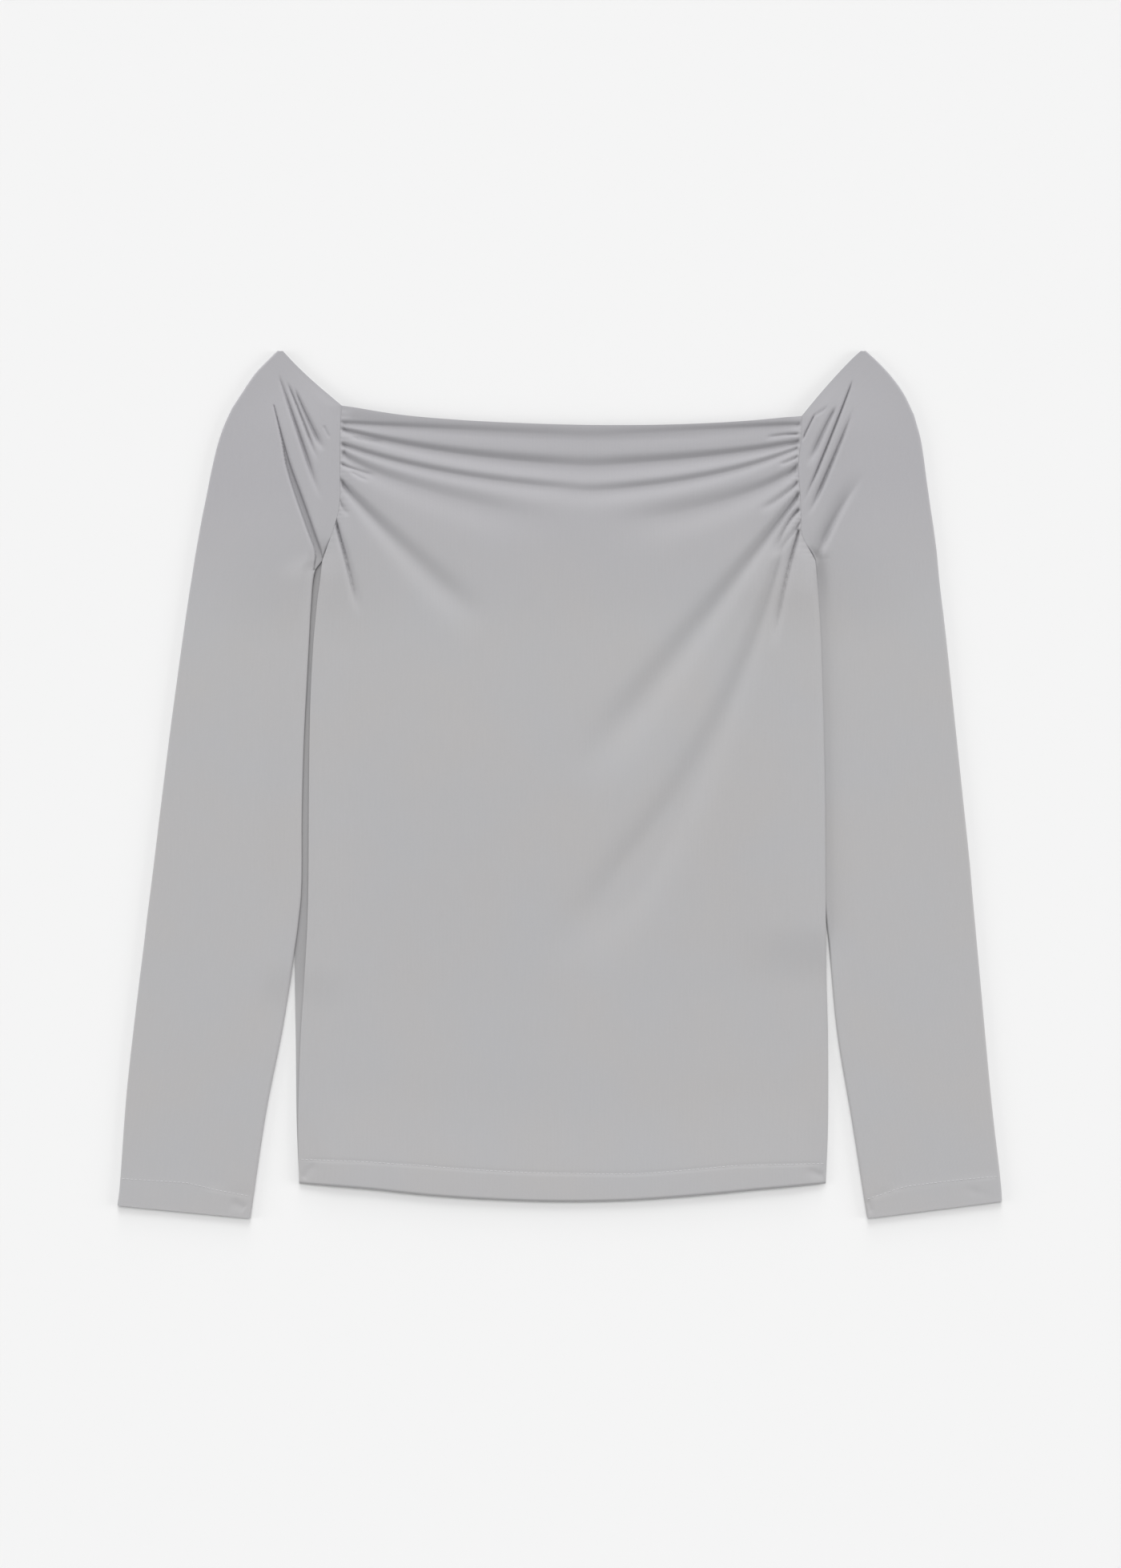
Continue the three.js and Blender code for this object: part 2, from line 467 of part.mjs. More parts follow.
// Height of its upper layer: the fullness of the sleeve head and its folds on top of the lower one.
function overHeight(row, folds, peakY, distance) {
  const x = row.outer.x + row.across.x * distance;
  const y = row.outer.y + row.across.y * distance;
  const inward = row.width - distance;
  const rise = 2 * lerp(row.innerRadius, FOLD_RADIUS, smooth(inward, 0, TUCK_BACK_REACH));
  const middle = smooth(distance, row.outerStart, row.outerStart + OUTER_REACH);
  const free = smooth(inward, 0, SEAM_REACH);
  const head = yoke(y) * smooth(peakY - y, 0, PEAK_REACH) * middle;
  const fullness = head * lerp(row.open ? SEAM_RISE : 0, HEAD_RISE, free);
  const shaped = rise + fullness + relief(folds, x, y) * middle * free;
  return underHeight(row, distance) + Math.max(shaped, Math.min(rise, LEAST_RISE));
}

// The section of a sleeve along one row, as distances from the outer fold and heights: from the
// inner edge over the top to the outer fold, and back underneath.
function sleeveSection(row, folds, peakY) {
  const section = [];
  const under = (distance) => underHeight(row, distance);
  const over = (distance) => overHeight(row, folds, peakY, distance);
  const bend = (from, direction, isTop, steps) => {
    const radius = (over(from) - under(from)) / 2;
    for (const flat of steps) {
      const angle = (flat * Math.PI) / 2;
      const distance = from + direction * Math.min(radius, FOLD_RADIUS) * Math.cos(angle);
      section.push({ distance, z: under(from) + radius + (isTop ? 1 : -1) * radius * Math.sin(angle) });
    }
  };
  const edge = (height, steps) => {
    for (const flat of steps) {
      const distance = lerp(row.width, row.innerEnd, flat);
      section.push({ distance, z: height(distance) });
    }
  };
  const outwards = [...BEND_STEPS].reverse();
  const crowding = row.open
    ? lerp(CROWDING.underarm, CROWDING.neck, smooth(row.t, UNDERARM_ROW, NECK_ROW))
    : lerp(CROWDING.underarm, CROWDING.tube, smooth(UNDERARM_ROW - row.t, 0, CROWDING_ROWS));

  if (row.open) edge(over, outwards);
  else bend(row.innerEnd, 1, true, outwards);
  for (let k = 1; k < SLEEVE_TOP_COLUMNS; k++) {
    const distance = lerp(row.innerEnd, row.outerStart, (k / SLEEVE_TOP_COLUMNS) ** crowding);
    section.push({ distance, z: over(distance) });
  }
  bend(row.outerStart, -1, true, BEND_STEPS);
  bend(row.outerStart, -1, false, outwards.slice(1));
  for (let k = SLEEVE_UNDER_COLUMNS; k > 0; k--) {
    const share = (k / (SLEEVE_UNDER_COLUMNS + 1)) ** CROWDING.tube;
    const distance = lerp(row.innerEnd, row.outerStart, share);
    section.push({ distance, z: under(distance) });
  }
  if (row.open) edge(under, BEND_STEPS);
  else bend(row.innerEnd, 1, false, BEND_STEPS.slice(0, -1));
  return section;
}

// A sleeve: a flattened tube up to the underarm, and above it a folded piece whose two free edges
// are the armhole seam and then the neck edge. side is -1 or 1, for the end of X that it is on.
function sleeve(name, table, foldTable, side) {
  const folds = foldTable.map(foldLine);
  const peakY = table[table.length - 1].outerY;
  const points = [];
  const square = [];
  const rings = stations(table, 0, table.length - 1).map((t) => {
    const row = sleeveRow(table, t, side);
    const ring = sleeveSection(row, folds, peakY).map(({ distance, z }) => {
      const place = row.outer.clone().addScaledVector(row.across, distance);
      return points.push(new THREE.Vector3(place.x, place.y, z)) - 1;
    });
    for (const id of ring) square[id] = row.open && (id === ring[0] || id === ring[ring.length - 1]);
    if (!row.open) ring.push(ring[0]);
    return ring;
  });
  const faces = [];
  for (let r = 0; r + 1 < rings.length; r++) {
    for (let c = 0; c + 1 < rings[r].length; c++) {
      const sides = [rings[r][c + 1], rings[r + 1][c]];
      if (side < 0) sides.reverse();
      cell(faces, rings[r][c], sides[0], rings[r + 1][c + 1], sides[1]);
    }
  }
  return wall(name, points, faces, square);
}

// The garment, moved so that its origin is under the middle of its plan, on the surface.
const top = new THREE.Group();
top.add(
  backPanel(),
  frontPanel(),
  sleeve("sleeve_left", LEFT_SLEEVE, LEFT_SLEEVE_FOLDS, -1),
  sleeve("sleeve_right", RIGHT_SLEEVE, RIGHT_SLEEVE_FOLDS, 1),
);
const box = new THREE.Box3().setFromObject(top);
const centre = box.getCenter(new THREE.Vector3());
top.position.set(-centre.x, -centre.y, -box.min.z);

export default top;
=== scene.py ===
import math

import bpy
import numpy as np
from mathutils import Matrix, Vector
from mathutils.bvhtree import BVHTree


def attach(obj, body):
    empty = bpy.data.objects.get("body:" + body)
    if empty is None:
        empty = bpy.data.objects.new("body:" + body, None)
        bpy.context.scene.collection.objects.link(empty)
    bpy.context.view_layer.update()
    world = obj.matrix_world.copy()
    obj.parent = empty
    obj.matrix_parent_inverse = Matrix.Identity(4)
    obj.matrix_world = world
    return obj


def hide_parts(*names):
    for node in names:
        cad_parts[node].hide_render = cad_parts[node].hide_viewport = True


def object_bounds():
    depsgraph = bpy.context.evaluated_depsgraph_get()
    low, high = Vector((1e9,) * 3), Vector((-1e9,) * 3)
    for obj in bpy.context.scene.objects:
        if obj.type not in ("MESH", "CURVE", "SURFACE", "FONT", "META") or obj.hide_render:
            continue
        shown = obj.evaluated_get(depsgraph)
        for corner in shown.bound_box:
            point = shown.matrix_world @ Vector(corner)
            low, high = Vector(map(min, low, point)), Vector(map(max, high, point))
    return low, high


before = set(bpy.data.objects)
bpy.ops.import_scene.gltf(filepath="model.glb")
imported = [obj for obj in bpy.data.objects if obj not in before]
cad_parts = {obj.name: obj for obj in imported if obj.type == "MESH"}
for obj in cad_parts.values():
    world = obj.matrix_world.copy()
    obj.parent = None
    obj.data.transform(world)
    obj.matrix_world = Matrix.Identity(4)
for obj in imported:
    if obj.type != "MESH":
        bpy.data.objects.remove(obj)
cad_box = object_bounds()

# Off-shoulder top in fine jersey, laid flat on its back. Sizes are in millimetres until a mesh is
# made: +Z up from the surface, +Y from the hem to the neckline, x = y = 0 at the photo's middle.
MM = 0.001

# The cloth
CLOTH = 0.8
SEAM_GAP = 0.08  # between two pieces that are sewn together
LAYER_RISE = 2.6  # from the lower layer's middle to the upper layer's middle
LEAST_RISE = 1.0  # how near the middles of two layers may come
FLOOR_TURN = 0.25  # how softly a fold ends on the layer below it
FOLD_RADIUS = LAYER_RISE / 2  # the bend at the edge of a flattened tube
EDGE_ROUND = 1.1  # radius of a turned edge
SHARP_ANGLE = 55  # degrees above which an edge between faces stays crisp

# How far the gathered upper front and the sleeve heads stand up
YOKE_LOW, YOKE_FULL = 96, 176  # heights between which they rise
YOKE_RISE = 3.2
SEAM_RISE = 2.0  # and at the armhole seams
SEAM_REACH = 12  # from a seam or an edge to where the cloth has its whole rise
NECK_CREST = 1.5  # how far the cloth stands up at the neck edge, and over what length
NECK_REACH = 11
HEAD_RISE = 2.8  # of a sleeve's head, and how far in from its outer fold and its peak it is whole
OUTER_REACH = 60
PEAK_REACH = 60

# How far the front stands up below that, between two heights and in from the sides, and at its hem
LOWER_RISE = 2.2
LOWER_HEIGHTS = (-170, 40)
LOWER_REACH = 70
HEM_RISE = 1.4
HEM_REACH = 70
HEM_SIDE = 30

# The edges of the body
NECK_BOW_FADE = 1.3  # how fast the neck's bow fades down the rows, as a power
NECK_BACK_DROP = 3  # how much lower the back's neck edge is than the front's
HEM_BACK_RISE = 2  # how much higher its hem is
SIDE_ROLL = 5  # width over which the front's side edges roll in
ROLL_START = 30  # length below the underarm over which that roll begins
LEFT_ROLL = 0.2  # share of the roll on -X, where the edge stands over the back's strip
LEFT_CREST = {"rise": 1.3, "from_to": (-170, -140)}  # how the front rises towards that edge
# Small gathers along the armhole seams, whose places wander a little
PUCKER = {"pitch": 3.7, "wander": 1.3, "wander_pitch": 31, "height": 0.07, "reach": 7}

# Where the body lies over the sleeve on +X, and the sleeve on -X over the back's strip: the heights
# where that begins, where it is whole and where it ends, how far it lifts the upper piece, and how
# far in from the edge the lift stays whole.
TUCK = {"top": 176, "full": 131, "low": -96, "end": -141, "rise": 3.1, "width": 6}
TUCK_BACK_REACH = 22  # how far in from the edge the back's lift ends
TUCK_FRONT_REACH = 80  # and the front's
TUCK_RADIUS = 0.9  # bend at the edge of the sleeve where the body lies on it
LAP = {"top": 164, "full": 141, "low": -126, "end": -158, "rise": 1.7, "width": 7, "reach": 30}


def read_table(text):
    """A table as a dict from the name of each column to its values."""
    names, *rows = [line.split() for line in text.strip().splitlines()]
    columns = dict(zip(names, zip(*rows)))
    words = ("row", "fold")
    return {n: c if n in words else np.array(c, float) for n, c in columns.items()}


# Each sleeve from cuff to shoulder point: its outer fold and its inner edge, row by row.
LEFT_SLEEVE = read_table("""
    row               outer_x  outer_y  inner_x  inner_y
    cuff               -309.7   -294.6   -216.7   -303.5
    hem                -307.7   -277.2   -214.2   -285.6
    wrist              -303.5   -219.0   -205.5   -227.4
    forearm            -297.4   -163.0   -194.3   -171.4
    leaves_body        -291.2   -112.6   -186.5   -121.0
    low_lap            -288.7    -91.3   -183.1    -96.3
    elbow              -285.0    -62.2   -180.9    -70.6
    mid_lap            -278.9    -11.8   -180.6    -20.2
    upper_arm          -272.6     38.6   -179.2     30.2
    high_lap           -265.4     91.8   -176.4     84.6
    below_underarm     -260.4    127.1   -174.2    124.3
    crevice            -257.6    145.0   -171.8    147.0
    underarm           -255.4    159.0   -166.3    156.2
    seam_1             -250.9    184.2   -156.8    183.7
    seam_2             -247.5    201.0   -154.0    199.9
    seam_3             -244.2    217.8   -154.0    216.7
    seam_4             -239.7    236.9   -154.0    234.6
    seam_5             -235.2    250.3   -153.7    250.3
    neck               -229.6    262.6   -152.6    264.3
    neck_1             -222.3    273.8   -161.3    271.6
    neck_2             -213.9    286.2   -173.0    281.7
    neck_3             -205.0    295.7   -184.8    292.9
    shoulder_point     -198.0    302.5   -193.9    302.6
""")
RIGHT_SLEEVE = read_table("""
    row               outer_x  outer_y  inner_x  inner_y
    cuff                308.6   -291.5    214.5   -303.5
    hem                 307.2   -273.8    211.7   -286.2
    wrist               301.3   -222.9    203.6   -234.6
    forearm             295.7   -163.0    193.5   -174.2
    leaves_body         290.6   -107.0    188.2   -118.2
    low_tuck            287.8    -76.2    184.8    -86.8
    elbow               285.6    -51.0    182.6    -62.2
    mid_tuck            280.0      2.2    180.3     -9.0
    upper_arm           274.4     55.4    179.2     44.2
    high_tuck           269.1    105.8    178.9     95.8
    below_underarm      265.4    136.6    178.9    124.3
    crevice             264.0    150.6    178.2    143.9
    underarm            262.9    163.0    177.5    156.8
    seam_1              260.4    181.4    168.6    174.2
    seam_2              258.7    192.6    168.0    187.6
    seam_3              255.9    212.2    167.2    205.0
    seam_4              253.7    229.0    166.0    222.3
    seam_5              251.4    242.5    168.0    240.2
    neck                247.0    258.2    168.3    257.0
    neck_1              240.2    272.2    180.3    271.6
    neck_2              232.4    283.4    192.1    285.0
    neck_3              223.4    293.4    202.7    296.2
    shoulder_point      213.7    302.5    209.6    302.6
""")
UNDERARM = LEFT_SLEEVE["row"].index("underarm")
NECK = LEFT_SLEEVE["row"].index("neck")
CORNERS = (UNDERARM, NECK)
OPENING = 0.6  # rows above the underarm over which a sleeve's tube opens at the seam

# The body's sides below the underarm.
SIDES = read_table("""
           y  front_left  back_left  right
       156.2      -166.3     -166.3  177.8
       151.0      -166.9     -171.4  178.4
       141.1      -168.0     -173.5  179.2
       128.2      -169.8     -176.4  180.3
       100.2      -172.5     -180.0  182.0
        66.6      -174.4     -182.0  183.1
        33.0      -175.3     -183.4  184.0
       -11.8      -175.8     -184.8  184.8
       -67.8      -176.1     -185.6  185.1
      -101.4      -177.0     -185.9  185.4
      -135.0      -178.9     -185.8  185.9
      -179.8      -181.7     -185.1  187.0
      -235.8      -183.4     -184.5  187.0
      -279.2      -182.6     -182.6  185.4
""")

# How far the neck edge and the hem bow below a straight line, at equal steps across.
NECK_BOW = np.array([0, 5.6, 8.3, 9.5, 9.9, 9.3, 7.6, 4.6, 0])
HEM_BOW = np.array([0, 3.5, 8.3, 11.2, 12.5, 11.6, 8.4, 4.0, 0])

# Gathers and folds: the ends and the middle of each trough, its widths and depths at both ends, the
# share of its length over which it begins, and how far it reaches above and below in its widths.
# L starts at the armhole seam on -X, R at the one on +X and H on a sleeve's head, B is on the back,
# and C is a dimple at a corner of a hem.
FRONT_FOLDS = read_table("""
    fold    x0   y0    x1   y1    x2    y2   w0    w2   d0   d2  in   up  low
    L1    -153  253   -58  248    52   243  1.1     4  1.4  0.4   0  1.1  2.4
    L2    -154  249   -62  231    52   223  1.1     5  2.2  2.7   0  1.1  2.3
    L9    -148  243  -134  241  -122   240  1.0   1.6  1.0  0.5  .2  1.0  1.4
    L3    -152  238   -63  216    52   205  1.1   4.2  1.9  1.7   0  1.1  2.2
    L4    -151  232  -101  210    10   184  1.1     8  2.0  1.3   0  1.3  2.2
    L5    -153  224  -140  219  -128   216  1.0   1.6  1.5  0.6   0  1.0  1.4
    LA    -147  219  -140  215  -133   212  0.9   1.3  1.0  0.5  .2  1.0  1.2
    L6    -154  213  -106  165   -44   110  1.0     8  2.6  1.7   0  1.4  1.8
    L7    -154  198  -151  193  -147   187  0.9   1.4  1.2  0.5   0  1.2  1.2
    L8    -157  185  -148  154  -139   116  0.8   2.1  3.6  1.3   0  1.2  1.3
    R1     167  252    90  248    -8   243  1.1     4  1.4  0.4   0  1.1  2.4
    RA     165  245   153  244   142   242  0.9   1.4  1.3  0.5   0  1.0  1.2
    R2     166  240    90  229    -8   223  1.1     5  2.2  2.7   0  1.1  2.3
    R3     165  235    90  214    -8   205  1.0   4.2  1.5  2.3   0  1.1  2.2
    R4     165  229   159  226   151   223  0.9   1.4  1.1  0.6   0  1.0  1.2
    R5     166  223   114  200    25   184  1.1     8  2.4  1.4   0  1.3  2.2
    R6     165  211   153  201   136   190  1.0   2.2  1.7  0.7   0  1.2  1.4
    R7     166  203    86  103     2     0  1.1    13  2.9  2.5   0  1.2  1.5
    R8     166  192   156  179   145   155  1.0   2.0  2.6  1.4   0  1.2  1.4
    R9     168  184   159  172   148   158  0.9   1.6  1.6  0.5   0  1.2  1.2
    R10    166  177   157  145   146    92  0.9   2.8  3.0  2.2   0  1.1  1.2
    R11    158  180    90   12   -16  -124  1.2    18  2.0  3.7  .1  1.1  1.4
    C1    -181 -276  -177 -270  -171  -263  1.6   2.2  0.4  0.3  .2  1.2  1.4
    C2     184 -272   179 -271   171  -267  1.9   2.4  0.5  0.3  .2  1.2  1.4
""")
LEFT_SLEEVE_FOLDS = read_table("""
    fold    x0   y0    x1   y1    x2   y2   w0   w2   d0   d2  in   up  low
    H1    -197  287  -183  248  -166  197  0.8  1.7  3.0  2.2  .1  1.1  1.3
    H2    -191  282  -181  258  -168  224  0.8  1.4  2.4  1.9  .2  1.1  1.2
    H3    -186  278  -175  254  -164  232  0.8  2.0  2.0  2.4  .2  1.0  1.3
    H4    -165  251  -163  246  -160  241  0.8  1.1  0.5  0.3  .2  1.0  1.0
    C1    -219 -296  -224 -293  -232 -290  2.2  3.0  0.4  0.3  .2  1.2  1.4
""")
RIGHT_SLEEVE_FOLDS = read_table("""
    fold    x0   y0    x1   y1    x2   y2   w0   w2   d0   d2  in   up  low
    H1     204  283   188  242   168  194  0.8  1.2  2.4  2.2  .1  1.0  1.1
    H2     192  264   183  247   171  221  1.0  2.0  1.6  2.4  .2  1.2  1.2
    H3     177  258   172  248   167  238  0.8  1.0  1.2  1.2  .1  1.0  1.0
    H4     205  265   190  228   171  185  1.0  1.8  1.4  3.4  .3  1.1  1.1
    H5     186  263   181  260   175  256  0.8  1.0  0.6  0.6  .2  1.0  1.0
    H6     212  222   192  191   174   150  2.6  2.2  0.9  4.2  .5  2.4  0.9
    C1     216 -290   217 -295   219 -301  1.6  1.9  0.4  0.3  .2  1.2  1.4
    C2     306 -287   296 -285   281 -281  2.4  2.6  1.6  0.8  .2  1.0  1.3
""")

# Soft creases of the hidden side, placed as those of the front but shallower.
BACK_FOLDS = read_table("""
    fold      x0   y0    x1   y1    x2    y2   w0   w2   d0   d2  in   up  low
    B1      -150  238   -80  206    10   176    5   11  0.5  0.4  .2  1.0  2.0
    B2       162  226   110  176    62   108    5   13  0.5  0.4  .2  1.0  2.0
    B3      -158  176  -126  118  -104    48    5   11  0.5  0.3  .2  1.0  2.0
    B4       168  170   138   92   118    -4    6   14  0.5  0.3  .2  1.0  2.0
    B5      -168  -40   -60  -66    40   -78    7   14  0.4  0.3  .2  1.0  2.0
""")
BACK_FOLD_START = (5, 15)  # how far in from the sides those begin
FOLD_GAIN = 1.35  # on the depths of all folds but the deep one
FOLD_BOTTOM = 0.5  # how far the bottom of a trough lies below its dark line, in its upper reaches
FOLD_FADE = 0.3  # share of a fold's length over which it ends
FOLD_SAMPLES = 24  # stretches of a fold's line
SEAM_FOLD_REACH = 2.2  # from a seam to where the folds have their whole depth
SEAM_RELIEF = 0.3  # share of their depth that the front's folds have at a seam

# The deep fold of the sleeve on -X, which runs down into the crevice beside the body: along its
# middle line, half its width and its depth.
DEEP_FOLD = read_table("""
    row        x      y  half  depth
    top     -200.0  264   0.7    1.0
    upper   -194.0  240   1.3    2.8
    middle  -189.8  222   2.5    4.4
    lower   -183.5  203   3.2    5.2
    low     -176.1  182   3.3    5.2
    end     -169.3  161   3.2    5.2
    past    -169.8  150   3.0    5.2
    beyond  -170.2  120   2.7    4.8
""")
DEEP_SAMPLES = 240  # places along it
DEEP_WALL = 1.8  # 1 for a plain V, more for a flat bottom between steep walls

# Rows of stitches: how far up from the edge they lie, at shares of the way across from -X to +X.
HEM_STITCH = {
    "share": [0, 0.07, 0.24, 0.52, 0.64, 0.82, 1],
    "up": [17, 17.9, 20.4, 19.6, 18.2, 18.4, 14],
}
LEFT_CUFF_STITCH = {"share": [0, 0.5, 0.74, 1], "up": [19, 20.5, 17.3, 15]}
RIGHT_CUFF_STITCH = {"share": [0, 0.3, 0.66, 1], "up": [13, 18.7, 18.7, 17.5]}
STITCH = {"pitch": 3.0, "length": 2.2, "points": 5, "radius": 0.17, "sides": 6}
STITCH_ARC = {"lift": 0.1, "sink": 0.2, "power": 4}  # out of the cloth, and into it at both ends
STITCH_GROOVE = {"depth": 0.24, "width": 1.2}
HEM_LIFT = 0.12  # how much the turned hem thickens the cloth below its stitches
HEM_STEP = 3  # length over which it does
CUFF_START = 5  # how far in from a cuff's folds its hem shows
PROBE_HEIGHT = 1  # metres above or below the surface from which the cloth is looked for

# How finely the shells are cut
ARMHOLE_ROWS = 150
SIDE_STATIONS = 2000  # places along the side's curve, among which the rows are found
SIDE_BANDS = [(60, 48), (-120, 40), (-256, 24), (-279.2, 26)]  # down to a height, in so many rows
FRONT_HALF_COLUMNS = 79
BACK_HALF_COLUMNS = 34
BACK_ROW_SHARE = 2  # the front's rows to one of the back's
COLUMN_CROWDING = 1.45  # above 1, columns crowd to the edges
SLEEVE_BANDS = [  # from one row to another, in so many rows
    ("cuff", "hem", 22),
    ("hem", "upper_arm", 44),
    ("upper_arm", "underarm", 50),
    ("underarm", "neck", 130),
    ("neck", "shoulder_point", 36),
]
SLEEVE_TOP_COLUMNS = 112
SLEEVE_UNDER_COLUMNS = 14
SLEEVE_CROWDING = 1.25
BEND_STEPS = 5  # in a quarter of a turn
NARROW_EDGE = 0.12  # widest that a sleeve's free inner edge may be, as a share of the sleeve
LEAST_NORMAL = 1e-9  # so that no normal is divided by zero


def lerp(a, b, share):
    return a + (b - a) * share


def smooth(value, low, high):
    """0 below low, 1 above high, smooth between."""
    share = np.clip((value - low) / (high - low), 0, 1)
    return share * share * (3 - 2 * share)


def at(values, t, corners=()):
    """A column at fractional rows: a smooth curve through its values, with its corners kept."""
    last = len(values) - 1
    i = np.minimum(np.floor(t).astype(int), last - 1)
    f = t - i
    step = values[i + 1] - values[i]

    def slope(k):
        before = values[np.maximum(k - 1, 0)]
        after = values[np.minimum(k + 1, last)]
        inner = (k > 0) & (k < last) & ~np.isin(k, corners)
        return np.where(inner, (after - before) / 2, step)

    start, end = slope(i), slope(i + 1)
    return values[i] + f * (start + f * (3 * step - 2 * start - end + f * (start + end - 2 * step)))


def edge_points(table, edge, t):
    """Points of a sleeve's outer or inner edge at fractional rows."""
    columns = [at(table[f"{edge}_{axis}"], t, CORNERS) for axis in "xy"]
    return np.stack(columns, axis=-1)


def bow(values, share):
    """How far a bowed edge dips below a straight line, at a share of the way across."""
    return at(values, share * (len(values) - 1))


def fold_line(folds, k):
    """The trough of one fold as points along a curve that passes through its middle point."""
    start, middle, end = [np.array([folds[f"x{n}"][k], folds[f"y{n}"][k]]) for n in range(3)]
    bend = 2 * middle - (start + end) / 2
    t = np.linspace(0, 1, FOLD_SAMPLES + 1)[:, None]
    return (1 - t) ** 2 * start + 2 * t * (1 - t) * bend + t**2 * end


def relief(folds, x, y):
    """Height that a set of folds adds: each is a trough with a reach of its own on either side."""
    height = np.zeros(x.shape)
    for k in range(len(folds["fold"])):
        line = fold_line(folds, k)
        nearest = np.full(x.shape, np.inf)
        along = np.zeros(x.shape)
        above = np.zeros(x.shape)
        upper = math.copysign(1, line[-1][0] - line[0][0])
        for n, (a, b) in enumerate(zip(line[:-1], line[1:])):
            dx, dy = b - a
            t = np.clip(((x - a[0]) * dx + (y - a[1]) * dy) / (dx * dx + dy * dy), 0, 1)
            off_x, off_y = x - a[0] - t * dx, y - a[1] - t * dy
            distance = np.hypot(off_x, off_y)
            closer = distance < nearest
            nearest = np.where(closer, distance, nearest)
            along = np.where(closer, (n + t) / FOLD_SAMPLES, along)
            above = np.where(closer, upper * (dx * off_y - dy * off_x) / math.hypot(dx, dy), above)
        width = lerp(folds["w0"][k], folds["w2"][k], along)
        fade = 1 - smooth(along, 1 - FOLD_FADE, 1)
        if folds["in"][k] > 0:
            fade = fade * smooth(along, 0, folds["in"][k])
        beyond = np.exp(-np.maximum(nearest**2 - above**2, 0) / width**2)
        s = above / width + FOLD_BOTTOM * folds["up"][k]
        reach = np.where(s > 0, folds["up"][k], folds["low"][k])
        depth = lerp(folds["d0"][k], folds["d2"][k], along) * fade * beyond
        height -= FOLD_GAIN * depth * np.exp(-((s / reach) ** 2))
    return height


def deep_fold(x, y):
    """How far the deep fold sinks the cloth, between a steep wall on either side."""
    sunk = np.zeros(x.shape)
    t = np.linspace(0, len(DEEP_FOLD["row"]) - 1, DEEP_SAMPLES)
    columns = [at(DEEP_FOLD[name], t) for name in ("x", "y", "half", "depth")]
    for px, py, half, depth in zip(*columns):
        s = np.hypot(x - px, y - py) / half
        sunk = np.maximum(sunk, depth * np.clip(DEEP_WALL * (1 - s), 0, 1))
    return sunk


def soft_floor(height, low):
    """The height, but never below a level, with a soft turn there."""
    return low + FLOOR_TURN * np.logaddexp(0, (height - low) / FLOOR_TURN)


def yoke(y):
    """Lift of the upper, gathered part of the garment, 0 to 1 with height."""
    return smooth(y, YOKE_LOW, YOKE_FULL)


def overlap(zone, y):
    """How much of one piece lies over the other in a zone, 0 to 1 with height."""
    below_top = smooth(zone["top"] - y, 0, zone["top"] - zone["full"])
    return below_top * smooth(y, zone["end"], zone["low"])


def tuck_rise(y, inward, reach):
    """How far the body is lifted where it lies over the sleeve on +X."""
    return TUCK["rise"] * overlap(TUCK, y) * (1 - smooth(inward, TUCK["width"], reach))


def lap_rise(y, inward):
    """How far the sleeve on -X is lifted where it lies over the back's strip."""
    return LAP["rise"] * overlap(LAP, y) * (1 - smooth(inward, LAP["width"], LAP["reach"]))


def turned_edge(distance):
    """How far the cloth rolls down near a turned edge."""
    short = np.maximum(EDGE_ROUND - distance, 0)
    return EDGE_ROUND - np.sqrt(np.maximum(EDGE_ROUND**2 - short**2, 0))


def sewn_hem(up, stitch_up):
    """Relief of a hem: its double thickness, and the groove that its stitches pull in."""
    thick = HEM_LIFT * (1 - smooth(up, stitch_up - HEM_STEP / 2, stitch_up + HEM_STEP / 2))
    off = (up - stitch_up) / STITCH_GROOVE["width"]
    return thick - STITCH_GROOVE["depth"] * np.exp(-(off**2))


def shell(name, points, grain, ids, square):
    """Thin cloth round a grid of points: two layers and a rim, with the grain as its UVs."""
    _, first, ids = np.unique(ids, return_index=True, return_inverse=True)
    ids = ids.reshape(grain.shape[:2])
    places = points.reshape(-1, 3)[first]
    grain_at = grain.reshape(-1, 2)[first]
    square = square.reshape(-1)[first]
    here, ahead = slice(None, -1), slice(1, None)
    corners = [(here, here), (ahead, here), (ahead, ahead), (here, ahead)]
    quads = np.stack([ids[c].ravel() for c in corners], axis=1)
    quad_grain = np.stack([grain[c].reshape(-1, 2) for c in corners], axis=1)

    across = places[quads[:, 2]] - places[quads[:, 0]]
    down = places[quads[:, 3]] - places[quads[:, 1]]
    facing = np.cross(across, down)
    normals = np.zeros_like(places)
    for corner in quads.T:
        np.add.at(normals, corner, facing)
    normals[square, :2] = 0
    normals /= np.maximum(np.linalg.norm(normals, axis=1, keepdims=True), LEAST_NORMAL)
    layers = np.vstack([places + normals * CLOTH / 2, places - normals * CLOTH / 2])

    # The rim closes the edges that belong to one face alone.
    count = len(places)
    edges = np.vstack([quads[:, [k, (k + 1) % 4]] for k in range(4)])
    key = edges[:, 0] * count + edges[:, 1]
    back = edges[:, 1] * count + edges[:, 0]
    p, q = edges[~np.isin(key, back)].T
    rim = np.stack([q, p, p + count, q + count], axis=1)
    faces = np.vstack([quads, quads[:, ::-1] + count, rim])
    uvs = np.vstack([quad_grain, quad_grain[:, ::-1], grain_at[rim % count]])

    mesh = bpy.data.meshes.new(name)
    mesh.from_pydata((layers * MM).tolist(), [], faces.tolist())
    layer = mesh.uv_layers.new(name="grain")
    layer.data.foreach_set("uv", uvs.astype(np.float32).ravel())
    mesh.polygons.foreach_set("use_smooth", [True] * len(mesh.polygons))
    mesh.set_sharp_from_angle(angle=math.radians(SHARP_ANGLE))
    piece = bpy.data.objects.new(name, mesh)
    bpy.context.scene.collection.objects.link(piece)
    return piece


